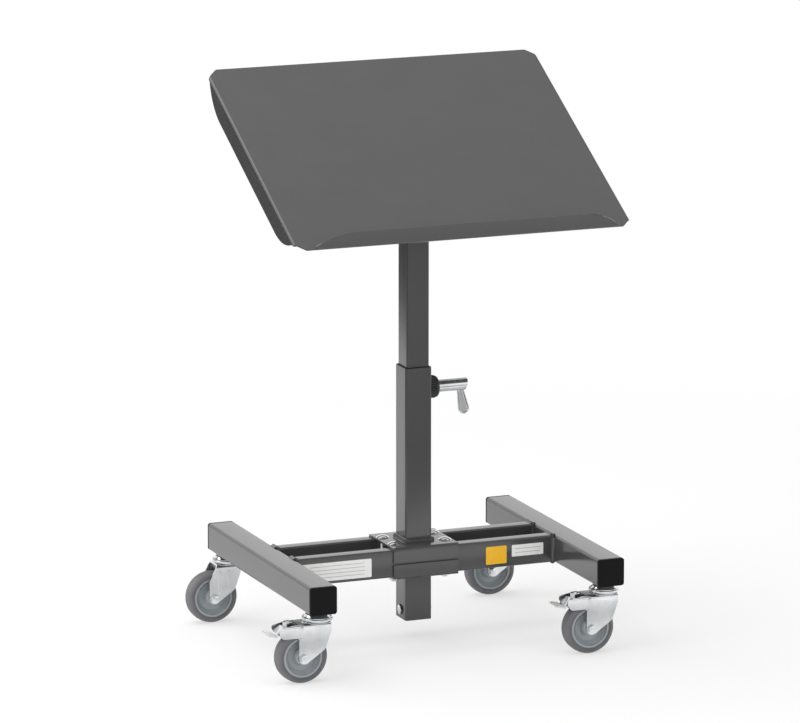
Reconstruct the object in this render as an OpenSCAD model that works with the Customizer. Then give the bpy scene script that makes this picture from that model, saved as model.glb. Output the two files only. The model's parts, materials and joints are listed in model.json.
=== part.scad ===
// Material cart: a caster base, a clamped carriage with a telescopic square column, and a folded tray that tilts.
// All lengths are in millimetres. The origin is at floor level on the column's axis.
// +Z is up, +X is the right-hand side, and the tray's low front edge faces -Y.

/* [Tray] */
// Width of the tray, left to right
tray_w = 505; // [420:5:640]
// Depth of the tray, measured on the slope
tray_d = 415; // [340:5:520]
// Thickness of the tray's sheet
tray_t = 2; // [1.5:0.5:3]
// Inner radius of the tray's folds
tray_bend_r = 3; // [2:0.5:5]
// Cut across each corner of the tray
tray_chamfer = 18; // [14:1:30]
// Height of the front lip above the tray's face
lip_h = 28; // [18:1:45]
// Depth of the side and rear flanges below the tray's face
flange_h = 33; // [20:1:40]
// Length of the curved run-out at each end of the lip and flanges
fold_taper = 66; // [30:1:80]
// Tilt of the tray, front edge down
tray_tilt = 28.5; // [0:0.5:45]
// Height of the tray's pivot above the floor
pivot_z = 681; // [480:1:720]
// Distance from the pivot to the tray's face
pivot_drop = 38; // [34:1:50]

/* [Column] */
// Width of the outer square tube
col_w = 40; // [38:1:45]
// Wall of the outer square tube
col_t = 1.5; // [1:0.25:2]
// Outer corner radius of the outer tube
col_r = 3; // [3:0.5:5]
// Height of the outer tube's lower end above the floor
col_bottom = 27; // [20:1:45]
// Length of the outer tube
col_h = 369; // [330:1:420]
// Wall of the plastic guide between the two tubes
guide_t = 1.3; // [0.8:0.1:1.8]
// Depth of the guide inside the outer tube
guide_h = 18; // [10:1:20]
// Wall of the mast tube
mast_t = 1.5; // [1:0.25:2.5]
// Outer corner radius of the mast tube
mast_r = 2.5; // [2:0.5:4]
// Length of the mast tube
mast_h = 420; // [400:1:440]

/* [Base] */
// Height of the casters, floor to beam
caster_h = 100; // [94:1:115]
// Distance between the centres of the two beams
base_w = 436; // [380:2:520]
// Length of each beam with its caps
beam_l = 414; // [340:2:480]
// Width and height of the beams' square tube
beam_w = 40; // [36:1:50]
// Wall of the beams
beam_t = 2; // [1.5:0.5:3]
// Outer corner radius of the beams
beam_r = 4; // [3:0.5:6]
// Height of the rails' rectangular tube
rail_h = 40; // [34:1:40]
// Depth of the rails' rectangular tube
rail_d = 20; // [15:1:25]
// Wall of the rails
rail_t = 2; // [1.5:0.5:3]
// Outer corner radius of the rails
rail_r = 2.5; // [2:0.5:4]
// Clear distance between the two rails
rail_gap = 53; // [50:1:64]
// Thickness of an end cap's face
cap_t = 4; // [3:0.5:6]

/* [Carriage] */
// Width of the two clamp plates, along the rails
plate_w = 100; // [92:1:120]
// Thickness of the clamp plates
plate_t = 3; // [2:0.5:4]
// Slit between the upper and the lower plate's flanges
plate_slit = 3; // [2:0.5:6]
// Diameter of the clamp bolts
bolt_d = 8; // [6:1:9]
// Distance from a bolt's centre to the plate's end
bolt_inset = 11; // [10.5:0.5:14]

/* [Height clamp] */
// Distance of the clamp screw below the outer tube's mouth
clamp_drop = 33; // [30:1:60]
// Diameter of the round boss on the column
boss_d = 31; // [26:1:36]
// Length of the boss
boss_h = 15; // [10:1:20]
// Diameter of the clamp screw
screw_d = 10; // [8:1:12]
// Diameter of the barrel on the screw
barrel_d = 18; // [15:1:20]
// Length of the barrel
barrel_h = 46; // [36:1:60]
// Length of the lever, from the barrel's axis to its tip
lever_l = 45; // [34:1:60]
// Largest width of the drop-shaped lever
lever_w = 17; // [12:1:18]
// Thickness of the lever
lever_t = 5; // [4:0.5:6]

/* [Tray bracket] */
// Length of each bracket's upper edge
bracket_l = 160; // [140:2:240]
// Thickness of the brackets
bracket_t = 4; // [3:0.5:5]
// Width of the flange under the tray
bracket_flange = 24; // [18:1:40]
// Diameter of the pivot bolt
pivot_d = 10; // [8:1:12]
// Radius of the tilt slot about the pivot
slot_r = 45; // [42:1:50]
// Diameter of the tilt clamp bolt
tilt_bolt_d = 8; // [6:1:8]
// Length of the tilt lever's handle
tilt_lever_l = 52; // [40:1:60]

/* [Casters] */
// Diameter of the wheels
wheel_d = 75; // [70:1:78]
// Width of the tyres
tyre_w = 23; // [20:1:25]
// Depth of the tyre's rubber
tyre_depth = 8.5; // [7:0.5:10]
// Rounding of the tyre's shoulders
tyre_shoulder = 6; // [3:0.5:6]
// Trail of the wheel behind the swivel axis
trail = 25; // [22:1:30]
// Distance from a caster's stem to the beam's end
stem_inset = 26; // [26:1:40]
// Diameter of the caster's stem
stem_d = 12; // [10:1:14]
// Diameter of the swivel race
race_d = 42; // [36:1:44]
// Outer width of the fork
fork_w = 34; // [34:0.5:38]
// Thickness of the fork's steel
fork_t = 2.5; // [2:0.25:3]
// Diameter of the axle bolt
axle_d = 8; // [6:1:9]
// Reach of the brake pedal from the swivel axis
pedal_reach = 78; // [74:1:90]

/* [Hidden] */
$fn = 48;
left = -1;
right = 1;
front = -1;
rear = 1;

// Clearances
over = 1;
run_gap = 0.05;
slide_gap = 0.1;
turn_gap = 0.2;
free_gap = 0.3;

// Colours
paint = "#4b4c4d";
plastic = "#222222";
zinc = "#c9ccd0";
grey_plastic = "#8b9095";
rubber = "#6b6b6e";

// Tray
tray_out = tray_bend_r + tray_t;
tray_face = pivot_drop;
tray_under = tray_face - tray_t;
taper_steps = 10;
fold_lap = 0.5;

// Column, from the outer tube inwards
col_in = col_w - 2 * col_t;
col_top = col_bottom + col_h;
guide_in = col_in - 2 * guide_t;
mast_w = guide_in - 2 * slide_gap;
mast_in = mast_w - 2 * mast_t;
mast_head = 14;
mast_top = pivot_z + mast_head;
mast_bottom = mast_top - mast_h;
foot_t = 6;
foot_plug = 20;
foot_w = col_in - 4 * slide_gap;
collar_t = 0.6;
weld_leg = 5;

// Stop bolt at the outer tube's lower end
stop_up = 13;
stop_z = col_bottom + stop_up;
stop_bolt_d = 8;
stop_head_af = 13;
stop_head_h = 5.3;
stop_sink = 2.6;
stop_sleeve_d = 16;
stop_nut_h = 4.5;
thread_out = 1.5;

// Base
beam_bottom = caster_h;
beam_top = beam_bottom + beam_w;
beam_x = base_w / 2;
rail_l = base_w - beam_w;
rail_y = rail_gap / 2 + rail_d / 2;
rail_z = beam_top - rail_h / 2;
cap_plug = 10;
cap_wall = 2;
bead = 4;
hump_r = 6;
hump_sink = 3.8;

// Carriage
plate_side_gap = 0.5;
plate_d = rail_gap + 2 * rail_d + 2 * plate_side_gap + 2 * plate_t;
plate_h = rail_h + 2 * plate_t;
plate_bend_in = 1.5;
notch = 2.5;
bolt_x = plate_w / 2 - bolt_inset;
bolt_y = rail_gap / 2 - bolt_d / 2 - plate_side_gap;
bolt_head_d = 20;
bolt_head_h = 3.6;
nut_af = 13;
nut_h = 6.5;

// Height clamp on the column's right face
clamp_z = col_top - clamp_drop;
pad_d = 11;
pad_h = 3;
pad_x = mast_w / 2 + run_gap;
clamp_travel = 1.5;
pocket_h = pad_x + pad_h + clamp_travel + free_gap - col_w / 2;
boss_round = 3;
boss_hole_d = 3.2;
boss_hole_depth = 5;
barrel_x = col_w / 2 + boss_h + free_gap;
barrel_grip = 24;
barrel_slant = 14;
lever_inset = 11;
spigot_d = 7;
spigot_sunk = 5;
lever_lean = 14;
lever_neck_d = 10;
dimple_t = 0.7;

// Tray pivot and tilt clamp
bush_flange = 1.5;
bush_flange_d = 18;
bush_d = 14;
bush_l = 8;
bracket_x = mast_w / 2 + bush_flange + turn_gap;
bracket_out = bracket_x + bracket_t;
slot_gap = 0.3;
tilt_max = 45;
slot_wall = 12;
slot_wall_angle = 14;
slot_steps = 10;
pivot_head_af = 16;
pivot_head_h = 6.4;
tilt_head_af = 13;
tilt_head_h = 5.3;
tilt_z = pivot_z - slot_r;
spacer_wall = 2.5;
tilt_hub_d = 18;
tilt_hub_l = 16;
tilt_bolt_in = 12;
tilt_handle_d = 9;
tilt_knob_d = 13;
tilt_droop = 20;

// Casters
wheel_r = wheel_d / 2;
caster_x = base_w / 2;
caster_y = beam_l / 2 - stem_inset;
rim_r = wheel_r - tyre_depth;
race_h = 7.8;
ring_h = 4.5;
fork_top = caster_h - race_h - turn_gap - ring_h;
fork_bend = 6;
stem_head_d = 18;
stem_head_h = 2.5;
stem_up = 12;
stem_nut_af = 19;
stem_nut_h = 8;
fork_in = fork_w / 2 - fork_t;
nose_r = 8;
ring_lip = 1.5;
ring_lip_h = 1.6;
sleeve_d = axle_d + 2;
hub_d = 20;
hub_gap = 1;
axle_head_af = 12;
axle_head_h = 5;
axle_nut_h = 6;
rim_edge = 0.5;
rim_ring = 3.5;
rim_recess = 6;
web_half = 2.5;
fork_front = 15;
fork_back = 20;
knee_r = 14;
knee_in = 21;
knee_up = 20;
web_back = 35;
arm_tip_x = -trail - 38;
arm_low = fork_top - 20;
arm_foot_r = 5;
arm_foot_in = 9;
arm_tip_r = 4;
arm_tip_in = 4.5;
arm_tip_drop = 9;
arm_fillet = 3;
rib_t = 0.7;
rib_w = 4;
rib_step = 14;

// Foot brake on the two front casters
brake_pin_d = 5;
brake_pin_x = -trail - 4;
pedal_eye_r = 4.2;
brake_pin_z = fork_top - fork_t - free_gap - pedal_eye_r;
brake_pin_head_d = 6.5;
brake_pin_head_h = 1.6;
pedal_t = 2.5;
pedal_w = 20;
pedal_tip_w = 30;
pedal_tip_l = 13.5;
pedal_drop = 9.5;
pedal_rise = 3;
pedal_knee = 7.5;
ridge_r = 0.9;
ridge_count = 4;
shoe_gap = 4;
shoe_t = 2.5;
shoe_from = 112;
shoe_to = 135;
shoe_w = 18;
brake_screw_d = 6;
brake_screw_x = -trail - 19;
brake_head_af = 13;
brake_head_h = 6.5;

// Points of an arc about c, from angle a0 to a1
function arc(c, r, a0, a1, n) = [for (i = [0:n]) let (a = a0 + (a1 - a0) * i / n) c + r * [cos(a), sin(a)]];

// Direction of the outer normal of the straight run between two circles of an outline drawn anticlockwise
function run_normal(p, q) =
    let (d = [q[0] - p[0], q[1] - p[1]])
    atan2(d[1], d[0]) - acos((p[2] - q[2]) / norm(d));

// Convex outline round circles [x, y, radius], listed anticlockwise, joined by straight runs
function belt(circles, n = 8) = [
    for (i = [0:len(circles) - 1])
        let (
            last = circles[(i + len(circles) - 1) % len(circles)],
            this = circles[i],
            next = circles[(i + 1) % len(circles)],
            a0 = run_normal(last, this),
            turn = (run_normal(this, next) - a0 + 720) % 360
        )
        each arc([this[0], this[1]], this[2], a0, a0 + turn, n)
];

// Half of a fold's silhouette, from its middle outwards: a straight edge, a round run-out and a foot on the sheet
function fold_half(l, h) =
    let (r = (fold_taper * fold_taper + h * h) / (2 * h), sweep = asin(fold_taper / r))
    concat(
        [for (a = arc([l / 2 - fold_taper, h - r], r, 90, 90 - sweep, taper_steps)) if (a[1] > tray_out) a],
        [[l / 2 + 2 * tray_out, tray_t], [l / 2 + 2 * tray_out, 0]]
    );

// Silhouette of a fold: two halves, mirrored
function fold_outline(l, h) =
    let (half = fold_half(l, h))
    concat(half, [for (i = [len(half) - 1:-1:0]) [-half[i][0], half[i][1]]]);

// Rectangle with round corners, centred
module rounded_rect(w, d, r) {
    square([w - 2 * r, d], center = true);
    square([w, d - 2 * r], center = true);
    for (x = [-1, 1], y = [-1, 1])
        translate([x * (w / 2 - r), y * (d / 2 - r)])
            circle(r);
}

// Section of a tube with round corners
module tube_section(w, d, r, t) {
    difference() {
        rounded_rect(w, d, r);
        rounded_rect(w - 2 * t, d - 2 * t, max(r - t, t / 4));
    }
}

// Solids that run along X or Y instead of Z
module along_x(l) {
    rotate([90, 0, 90])
        linear_extrude(l)
            children();
}

module across_y(l) {
    rotate([90, 0, 0])
        linear_extrude(l, center = true)
            children();
}

module rod_x(d, l) {
    rotate([0, 90, 0])
        cylinder(d = d, h = l);
}

module hex_x(af, l) {
    rotate([0, 90, 0])
        cylinder(d = af / cos(30), h = l, $fn = 6);
}

module hex(af, l) {
    cylinder(d = af / cos(30), h = l, $fn = 6);
}

// Frame of the tray: the pivot is its origin, and the tray's face is level
module in_tray() {
    translate([0, 0, pivot_z])
        rotate([tray_tilt, 0, 0])
            children();
}

// Frame of a caster: the swivel axis at floor level
module at_caster(side, end) {
    translate([side * caster_x, end * caster_y, 0])
        children();
}

// Base frame
module beam(side) {
    color(paint)
        translate([side * beam_x, beam_l / 2 - cap_t, beam_bottom + beam_w / 2])
            difference() {
                rotate([90, 0, 0])
                    linear_extrude(beam_l - 2 * cap_t)
                        tube_section(beam_w, beam_w, beam_r, beam_t);
                for (end = [front, rear])
                    translate([0, cap_t - beam_l / 2 + end * caster_y, -beam_w / 2 - over])
                        cylinder(d = stem_d + 2 * run_gap, h = beam_t + 2 * over);
            }
}

module left_beam() {
    beam(left);
}

module right_beam() {
    beam(right);
}

module end_cap() {
    plug_w = beam_w - 2 * beam_t;
    plug_r = max(beam_r - beam_t, beam_t / 4);
    rotate([90, 0, 0])
        linear_extrude(cap_t)
            rounded_rect(beam_w, beam_w, beam_r);
    translate([0, cap_plug, 0])
        rotate([90, 0, 0])
            linear_extrude(cap_plug)
                tube_section(plug_w, plug_w, plug_r, cap_wall);
}

module end_caps() {
    color(plastic)
        for (side = [left, right], turn = [0, 180])
            translate([side * beam_x, 0, beam_bottom + beam_w / 2])
                rotate([0, 0, turn])
                    translate([0, cap_t - beam_l / 2, 0])
                        end_cap();
}

module rail(end) {
    color(paint)
        translate([-rail_l / 2, end * rail_y, rail_z])
            along_x(rail_l)
                tube_section(rail_d, rail_h, rail_r, rail_t);
}

module front_rail() {
    rail(front);
}

module rear_rail() {
    rail(rear);
}

// Weld round one end of a rail: fillets in the two upright corners and a low hump over and under the seam
module rail_weld() {
    hump_y = rail_d - 2 * rail_r;
    for (end = [front, rear])
        translate([0, end * rail_d / 2, -rail_h / 2 + rail_r])
            intersection() {
                cylinder(r = bead, h = rail_h - 2 * rail_r);
                translate([-bead - over, (end - 1) / 2 * (bead + over), -over])
                    cube([bead + over, bead + over, rail_h + over]);
            }
    for (up = [-1, 1])
        intersection() {
            translate([0, hump_y / 2, up * (rail_h / 2 - hump_sink)])
                rotate([90, 0, 0])
                    cylinder(r = hump_r, h = hump_y);
            translate([0, 0, up * (rail_h / 2 + hump_r / 2)])
                cube([2 * hump_r, rail_d, hump_r], center = true);
        }
}

module rail_welds() {
    color(paint)
        for (end = [front, rear], turn = [0, 180])
            translate([0, end * rail_y, rail_z])
                rotate([0, 0, turn])
                    translate([rail_l / 2, 0, 0])
                        rail_weld();
}

// One caster stem: head under the fork, kingpin, upper race and threaded stud
module swivel_stem() {
    head_z = fork_top - fork_t - turn_gap;
    translate([0, 0, head_z - stem_head_h])
        cylinder(d = stem_head_d, h = stem_head_h);
    translate([0, 0, head_z - stem_head_h])
        cylinder(d = stem_d, h = caster_h + stem_up - head_z + stem_head_h);
    translate([0, 0, caster_h - race_h])
        rotate_extrude()
            polygon([
                [0, 0], [race_d / 2 - ring_lip, 0], [race_d / 2, ring_lip_h], [race_d / 2, race_h - ring_lip],
                [race_d / 2 - ring_lip, race_h], [0, race_h]
            ]);
}

module swivel_stems() {
    color(zinc)
        for (side = [left, right], end = [front, rear])
            at_caster(side, end)
                swivel_stem();
}

module stem_nuts() {
    color(zinc)
        for (side = [left, right], end = [front, rear])
            at_caster(side, end)
                translate([0, 0, beam_bottom + beam_t])
                    difference() {
                        hex(stem_nut_af, stem_nut_h);
                        translate([0, 0, -over])
                            cylinder(d = stem_d + 2 * run_gap, h = stem_nut_h + 2 * over);
                    }
}

// Carriage: two folded plates make a box round both rails, split by a slit at half height
module clamp_plate(up) {
    half_h = plate_h / 2 - plate_slit / 2;
    difference() {
        intersection() {
            translate([-plate_w / 2, 0, rail_z])
                along_x(plate_w)
                    tube_section(plate_d, plate_h, plate_bend_in + plate_t, plate_t);
            translate([0, 0, rail_z + up * (plate_slit / 2 + half_h / 2)])
                cube([plate_w + over, plate_d + over, half_h], center = true);
        }
        for (x = [-1, 1], y = [-1, 1])
            translate([x * plate_w / 2, y * plate_d / 2, rail_z + up * plate_h / 2])
                cube([2 * notch, 2 * notch, 2 * (plate_t + plate_bend_in)], center = true);
        for (x = [-1, 1], y = [-1, 1])
            translate([x * bolt_x, y * bolt_y, rail_z])
                cylinder(d = bolt_d + 2 * run_gap, h = plate_h + over, center = true);
        translate([0, 0, rail_z])
            linear_extrude(plate_h + over, center = true)
                rounded_rect(col_w, col_w, col_r);
    }
}

module clamp_top_plate() {
    color(paint)
        clamp_plate(1);
}

module clamp_bottom_plate() {
    color(paint)
        clamp_plate(-1);
}

// Low round head that is a slice of a ball
module dome(d, h) {
    ball_r = (d * d / 4 + h * h) / (2 * h);
    intersection() {
        cylinder(d = d, h = h);
        translate([0, 0, h - ball_r])
            sphere(ball_r, $fn = 64);
    }
}

module clamp_bolts() {
    top = rail_z + plate_h / 2;
    shank = plate_h + nut_h + thread_out;
    color(zinc)
        for (x = [-1, 1], y = [-1, 1])
            translate([x * bolt_x, y * bolt_y, top]) {
                dome(bolt_head_d, bolt_head_h);
                translate([0, 0, -shank])
                    cylinder(d = bolt_d, h = shank);
            }
}

module clamp_nuts() {
    color(zinc)
        for (x = [-1, 1], y = [-1, 1])
            translate([x * bolt_x, y * bolt_y, rail_z - plate_h / 2 - nut_h])
                difference() {
                    hex(nut_af, nut_h);
                    translate([0, 0, -over])
                        cylinder(d = bolt_d + 2 * run_gap, h = nut_h + 2 * over);
                }
}

module outer_tube() {
    color(paint)
        difference() {
            translate([0, 0, col_bottom])
                linear_extrude(col_h)
                    tube_section(col_w, col_w, col_r, col_t);
            translate([0, 0, clamp_z])
                rod_x(pad_d + 2 * free_gap, col_w / 2 + over);
            translate([-col_w / 2 - over, 0, stop_z])
                rod_x(stop_head_af / cos(30) + 2 * free_gap, col_w / 2);
            translate([0, 0, stop_z])
                rod_x(stop_bolt_d + 2 * run_gap, col_w / 2 + over);
        }
}

// Fillet weld round the column on the upper plate
module column_weld() {
    run = col_w - 2 * col_r;
    color(paint)
        translate([0, 0, rail_z + plate_h / 2])
            for (turn = [0:90:270])
                rotate([0, 0, turn]) {
                    translate([-run / 2, -col_w / 2, 0])
                        rotate([90, 0, 90])
                            linear_extrude(run)
                                polygon([[0, 0], [0, weld_leg], [-weld_leg, 0]]);
                    translate([run / 2, -run / 2, 0])
                        rotate([0, 0, -90])
                            rotate_extrude(angle = 90)
                                polygon([[col_r, 0], [col_r + weld_leg, 0], [col_r, weld_leg]]);
                }
}

// Plastic guide in the outer tube's mouth, with a collar on the rim
module guide_bush() {
    in_r = max(mast_r - col_r / 6, col_t / 2);
    color(plastic) {
        translate([0, 0, col_top - guide_h])
            linear_extrude(guide_h)
                difference() {
                    rounded_rect(col_in, col_in, max(col_r - col_t, col_t / 4));
                    rounded_rect(guide_in, guide_in, in_r);
                }
        translate([0, 0, col_top])
            linear_extrude(collar_t)
                difference() {
                    rounded_rect(col_w - col_t, col_w - col_t, col_r - col_t / 2);
                    rounded_rect(guide_in, guide_in, in_r);
                }
    }
}

// Cross bolt that stops the mast: its head sits in the left wall, its nut outside the right wall
module stop_bolt() {
    color(zinc)
        translate([-col_w / 2 + stop_sink, 0, stop_z]) {
            translate([-stop_head_h, 0, 0])
                hex_x(stop_head_af, stop_head_h);
            rod_x(stop_bolt_d, col_w - stop_sink + stop_nut_h + thread_out);
        }
}

module stop_sleeve() {
    l = col_w - stop_sink - col_t;
    color(plastic)
        translate([-col_w / 2 + stop_sink, 0, stop_z])
            difference() {
                rod_x(stop_sleeve_d, l);
                translate([-over, 0, 0])
                    rod_x(stop_bolt_d + 2 * run_gap, l + 2 * over);
            }
}

module stop_nut() {
    color(zinc)
        translate([col_w / 2, 0, stop_z])
            difference() {
                hex_x(stop_head_af, stop_nut_h);
                translate([-over, 0, 0])
                    rod_x(stop_bolt_d + 2 * run_gap, stop_nut_h + 2 * over);
            }
}

// Round boss that carries the clamp screw, with three pin holes in its face
module clamp_boss() {
    boss_r = boss_d / 2;
    pin_r = (boss_r + screw_d / 2) / 2 + boss_hole_d / 4;
    color(plastic)
        translate([col_w / 2, 0, clamp_z])
            difference() {
                rotate([0, 90, 0])
                    rotate_extrude() {
                        square([boss_r, boss_h - boss_round]);
                        square([boss_r - boss_round, boss_h]);
                        translate([boss_r - boss_round, boss_h - boss_round])
                            circle(boss_round);
                    }
                translate([-over, 0, 0])
                    rod_x(screw_d + 2 * run_gap, boss_h + 2 * over);
                translate([-over, 0, 0])
                    rod_x(pad_d + 2 * free_gap, pocket_h + over);
                for (a = [90, 210, 330])
                    translate([boss_h - boss_hole_depth, pin_r * cos(a), pin_r * sin(a)])
                        rod_x(boss_hole_d, boss_hole_depth + over);
            }
}

// Height clamp
module clamp_pad() {
    color(plastic)
        translate([pad_x, 0, clamp_z])
            rod_x(pad_d, pad_h);
}

module clamp_spindle() {
    start = pad_x + pad_h;
    color(zinc)
        translate([start, 0, clamp_z])
            rod_x(screw_d, barrel_x + barrel_grip - start);
}

module clamp_barrel() {
    color(zinc)
        translate([barrel_x, 0, clamp_z])
            difference() {
                rod_x(barrel_d, barrel_h);
                translate([-over, 0, 0])
                    rod_x(screw_d + 2 * run_gap, barrel_grip + over);
                translate([barrel_h, 0, barrel_d / 2])
                    rotate([0, barrel_slant, 0])
                        translate([0, -barrel_d, -2 * barrel_d])
                            cube([barrel_d, 2 * barrel_d, 3 * barrel_d]);
                translate([barrel_h - lever_inset, 0, -barrel_d / 2 - over])
                    cylinder(d = spigot_d + 2 * run_gap, h = spigot_sunk + over);
            }
}

// Flat round plate with a rounded rim, lying across Y
module pebble(d, t) {
    rotate([90, 0, 0])
        rotate_extrude($fn = 32)
            union() {
                translate([0, -t / 2])
                    square([d / 2 - t / 2, t]);
                translate([d / 2 - t / 2, 0])
                    circle(t / 2, $fn = 16);
            }
}

// Drop-shaped lever with a shallow dimple on both faces
module clamp_lever() {
    neck_z = -barrel_d / 2 - lever_neck_d / 4;
    tip_z = -lever_l + lever_w / 2;
    color(zinc)
        translate([barrel_x + barrel_h - lever_inset, 0, clamp_z]) {
            translate([0, 0, -barrel_d / 2 - lever_neck_d / 2])
                cylinder(d = spigot_d, h = lever_neck_d / 2 + spigot_sunk);
            rotate([0, -lever_lean, 0])
                difference() {
                    hull() {
                        translate([0, 0, neck_z - lever_neck_d / 2])
                            sphere(d = lever_neck_d, $fn = 24);
                        translate([0, 0, tip_z])
                            pebble(lever_w, lever_t);
                    }
                    for (face = [-1, 1])
                        hull()
                            for (z = [tip_z - lever_w / 10, tip_z + lever_w / 2])
                                translate([0, face * (lever_t / 2 + dimple_t / 2), z])
                                    rotate([90, 0, 0])
                                        cylinder(d = lever_w / 2, h = 3 * dimple_t, center = true, $fn = 24);
                }
        }
}

// Mast
module mast_tube() {
    color(paint)
        difference() {
            translate([0, 0, mast_bottom])
                linear_extrude(mast_h)
                    tube_section(mast_w, mast_w, mast_r, mast_t);
            translate([-mast_w, 0, pivot_z])
                rod_x(bush_d, 2 * mast_w);
            translate([-mast_w, 0, tilt_z])
                rod_x(tilt_bolt_d + 2 * run_gap, 2 * mast_w);
        }
}

module mast_foot() {
    color(plastic)
        translate([0, 0, mast_bottom - foot_t]) {
            linear_extrude(foot_t)
                rounded_rect(foot_w, foot_w, max(col_r - col_t, col_t / 4));
            linear_extrude(foot_t + foot_plug)
                rounded_rect(mast_in, mast_in, max(mast_r - mast_t, mast_t / 4));
        }
}

module pivot_bushes() {
    color(plastic)
        for (turn = [0, 180])
            translate([0, 0, pivot_z])
                rotate([0, 0, turn])
                    difference() {
                        union() {
                            translate([mast_w / 2, 0, 0])
                                rod_x(bush_flange_d, bush_flange);
                            translate([mast_w / 2 - bush_l, 0, 0])
                                rod_x(bush_d, bush_l);
                        }
                        rod_x(pivot_d + 2 * run_gap, mast_w);
                    }
}

// Tilt clamp bolt: it stays with the mast and runs in the brackets' slots
module tilt_bolt() {
    color(zinc)
        translate([0, 0, tilt_z]) {
            translate([bracket_out + turn_gap, 0, 0])
                hex_x(tilt_head_af, tilt_head_h);
            translate([-bracket_out - turn_gap - tilt_bolt_in, 0, 0])
                rod_x(tilt_bolt_d, 2 * (bracket_out + turn_gap) + tilt_bolt_in);
        }
}

module tilt_spacer() {
    color(zinc)
        translate([-mast_in / 2, 0, tilt_z])
            difference() {
                rod_x(tilt_bolt_d + 2 * run_gap + 2 * spacer_wall, mast_in);
                translate([-over, 0, 0])
                    rod_x(tilt_bolt_d + 2 * run_gap, mast_in + 2 * over);
            }
}

// Clamp lever on the bolt's left end, at rest pointing to the rear
module tilt_lever() {
    hub_x = -bracket_out - turn_gap - tilt_hub_l;
    color(plastic)
        translate([hub_x, 0, tilt_z])
            difference() {
                union() {
                    rod_x(tilt_hub_d, tilt_hub_l);
                    translate([tilt_hub_l / 2, 0, 0])
                        rotate([-90 - tilt_droop, 0, 0])
                            translate([0, 0, tilt_hub_d / 3]) {
                                cylinder(d = tilt_handle_d, h = tilt_lever_l - tilt_hub_d / 3);
                                translate([0, 0, tilt_lever_l - tilt_hub_d / 3])
                                    sphere(d = tilt_knob_d);
                            }
                }
                translate([tilt_hub_l - tilt_bolt_in, 0, 0])
                    rod_x(tilt_bolt_d + 2 * run_gap, tilt_bolt_in + over);
            }
}

// Section of one fold: a short lap on the tray's face, a quarter bend and a leg, from the sheet's lower face upwards
module fold_section(h) {
    translate([-fold_lap, 0])
        square([fold_lap, tray_t]);
    intersection() {
        difference() {
            translate([0, tray_out])
                circle(tray_out);
            translate([0, tray_out])
                circle(tray_bend_r);
        }
        square([tray_out, tray_out]);
    }
    translate([tray_bend_r, tray_out])
        square([tray_t, h - tray_out]);
}

// One folded edge: the section along the edge, cut to the silhouette. Its sheet's outer face is at y = 0
module fold(l, h) {
    intersection() {
        translate([-l / 2 - 2 * tray_out, tray_out, 0])
            rotate([90, 0, 90])
                linear_extrude(l + 4 * tray_out)
                    mirror([1, 0])
                        fold_section(h);
        translate([0, tray_out + over, 0])
            rotate([90, 0, 0])
                linear_extrude(tray_out + 2 * over)
                    polygon(fold_outline(l, h));
    }
}

// Plan of the tray: a rectangle with a straight cut across each corner
module tray_plan() {
    x = tray_w / 2;
    y = tray_d / 2;
    c = tray_chamfer;
    polygon([
        [-x + c, -y], [x - c, -y], [x, -y + c], [x, y - c], [x - c, y], [-x + c, y], [-x, y - c], [-x, -y + c]
    ]);
}

module tray() {
    side_l = tray_d - 2 * tray_chamfer;
    front_l = tray_w - 2 * tray_chamfer;
    color(paint)
        in_tray()
            intersection() {
                translate([0, 0, tray_face - flange_h - over])
                    linear_extrude(flange_h + lip_h + 2 * over)
                        tray_plan();
                union() {
                    translate([0, 0, tray_under])
                        linear_extrude(tray_t)
                            square([tray_w - 2 * tray_out, tray_d - 2 * tray_out], center = true);
                    translate([0, -tray_d / 2, tray_under])
                        fold(front_l, lip_h + tray_t);
                    translate([0, 0, tray_face])
                        mirror([0, 0, 1]) {
                            translate([0, tray_d / 2, 0])
                                mirror([0, 1, 0])
                                    fold(front_l, flange_h);
                            for (turn = [90, -90])
                                rotate([0, 0, turn])
                                    translate([0, -tray_w / 2, 0])
                                        fold(side_l, flange_h);
                        }
                }
            }
}

// Outline of a curved slot about the pivot, of width w, with round ends
function slot_outline(r, w, a0, a1) = concat(
    arc([0, 0], r + w / 2, a0, a1, slot_steps),
    arc(r * [cos(a1), sin(a1)], w / 2, a1, a1 + 180, slot_steps),
    arc([0, 0], r - w / 2, a1, a0, slot_steps),
    arc(r * [cos(a0), sin(a0)], w / 2, a0 + 180, a0 + 360, slot_steps)
);

// Bracket under the tray: a shield-shaped cheek with the pivot hole and the tilt slot, and a flange
module bracket(side) {
    down = -90;
    cheek = concat(
        [[bracket_l / 2, tray_under - bracket_t], [bracket_l / 2, tray_under], [-bracket_l / 2, tray_under],
            [-bracket_l / 2, tray_under - bracket_t]],
        arc([0, 0], slot_r + slot_wall, down - tilt_max - slot_wall_angle, down + slot_wall_angle, 10)
    );
    color(paint)
        in_tray() {
            translate([side > 0 ? bracket_x : -bracket_out, 0, 0])
                along_x(bracket_t)
                    difference() {
                        polygon(cheek);
                        circle(d = pivot_d + 2 * run_gap);
                        polygon(slot_outline(slot_r, tilt_bolt_d + 2 * slot_gap, down - tilt_max, down));
                    }
            translate([side > 0 ? bracket_out : -bracket_x - bracket_flange, -bracket_l / 2, tray_under - bracket_t])
                cube([bracket_flange - bracket_t, bracket_l, bracket_t]);
        }
}

module left_bracket() {
    bracket(left);
}

module right_bracket() {
    bracket(right);
}

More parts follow.
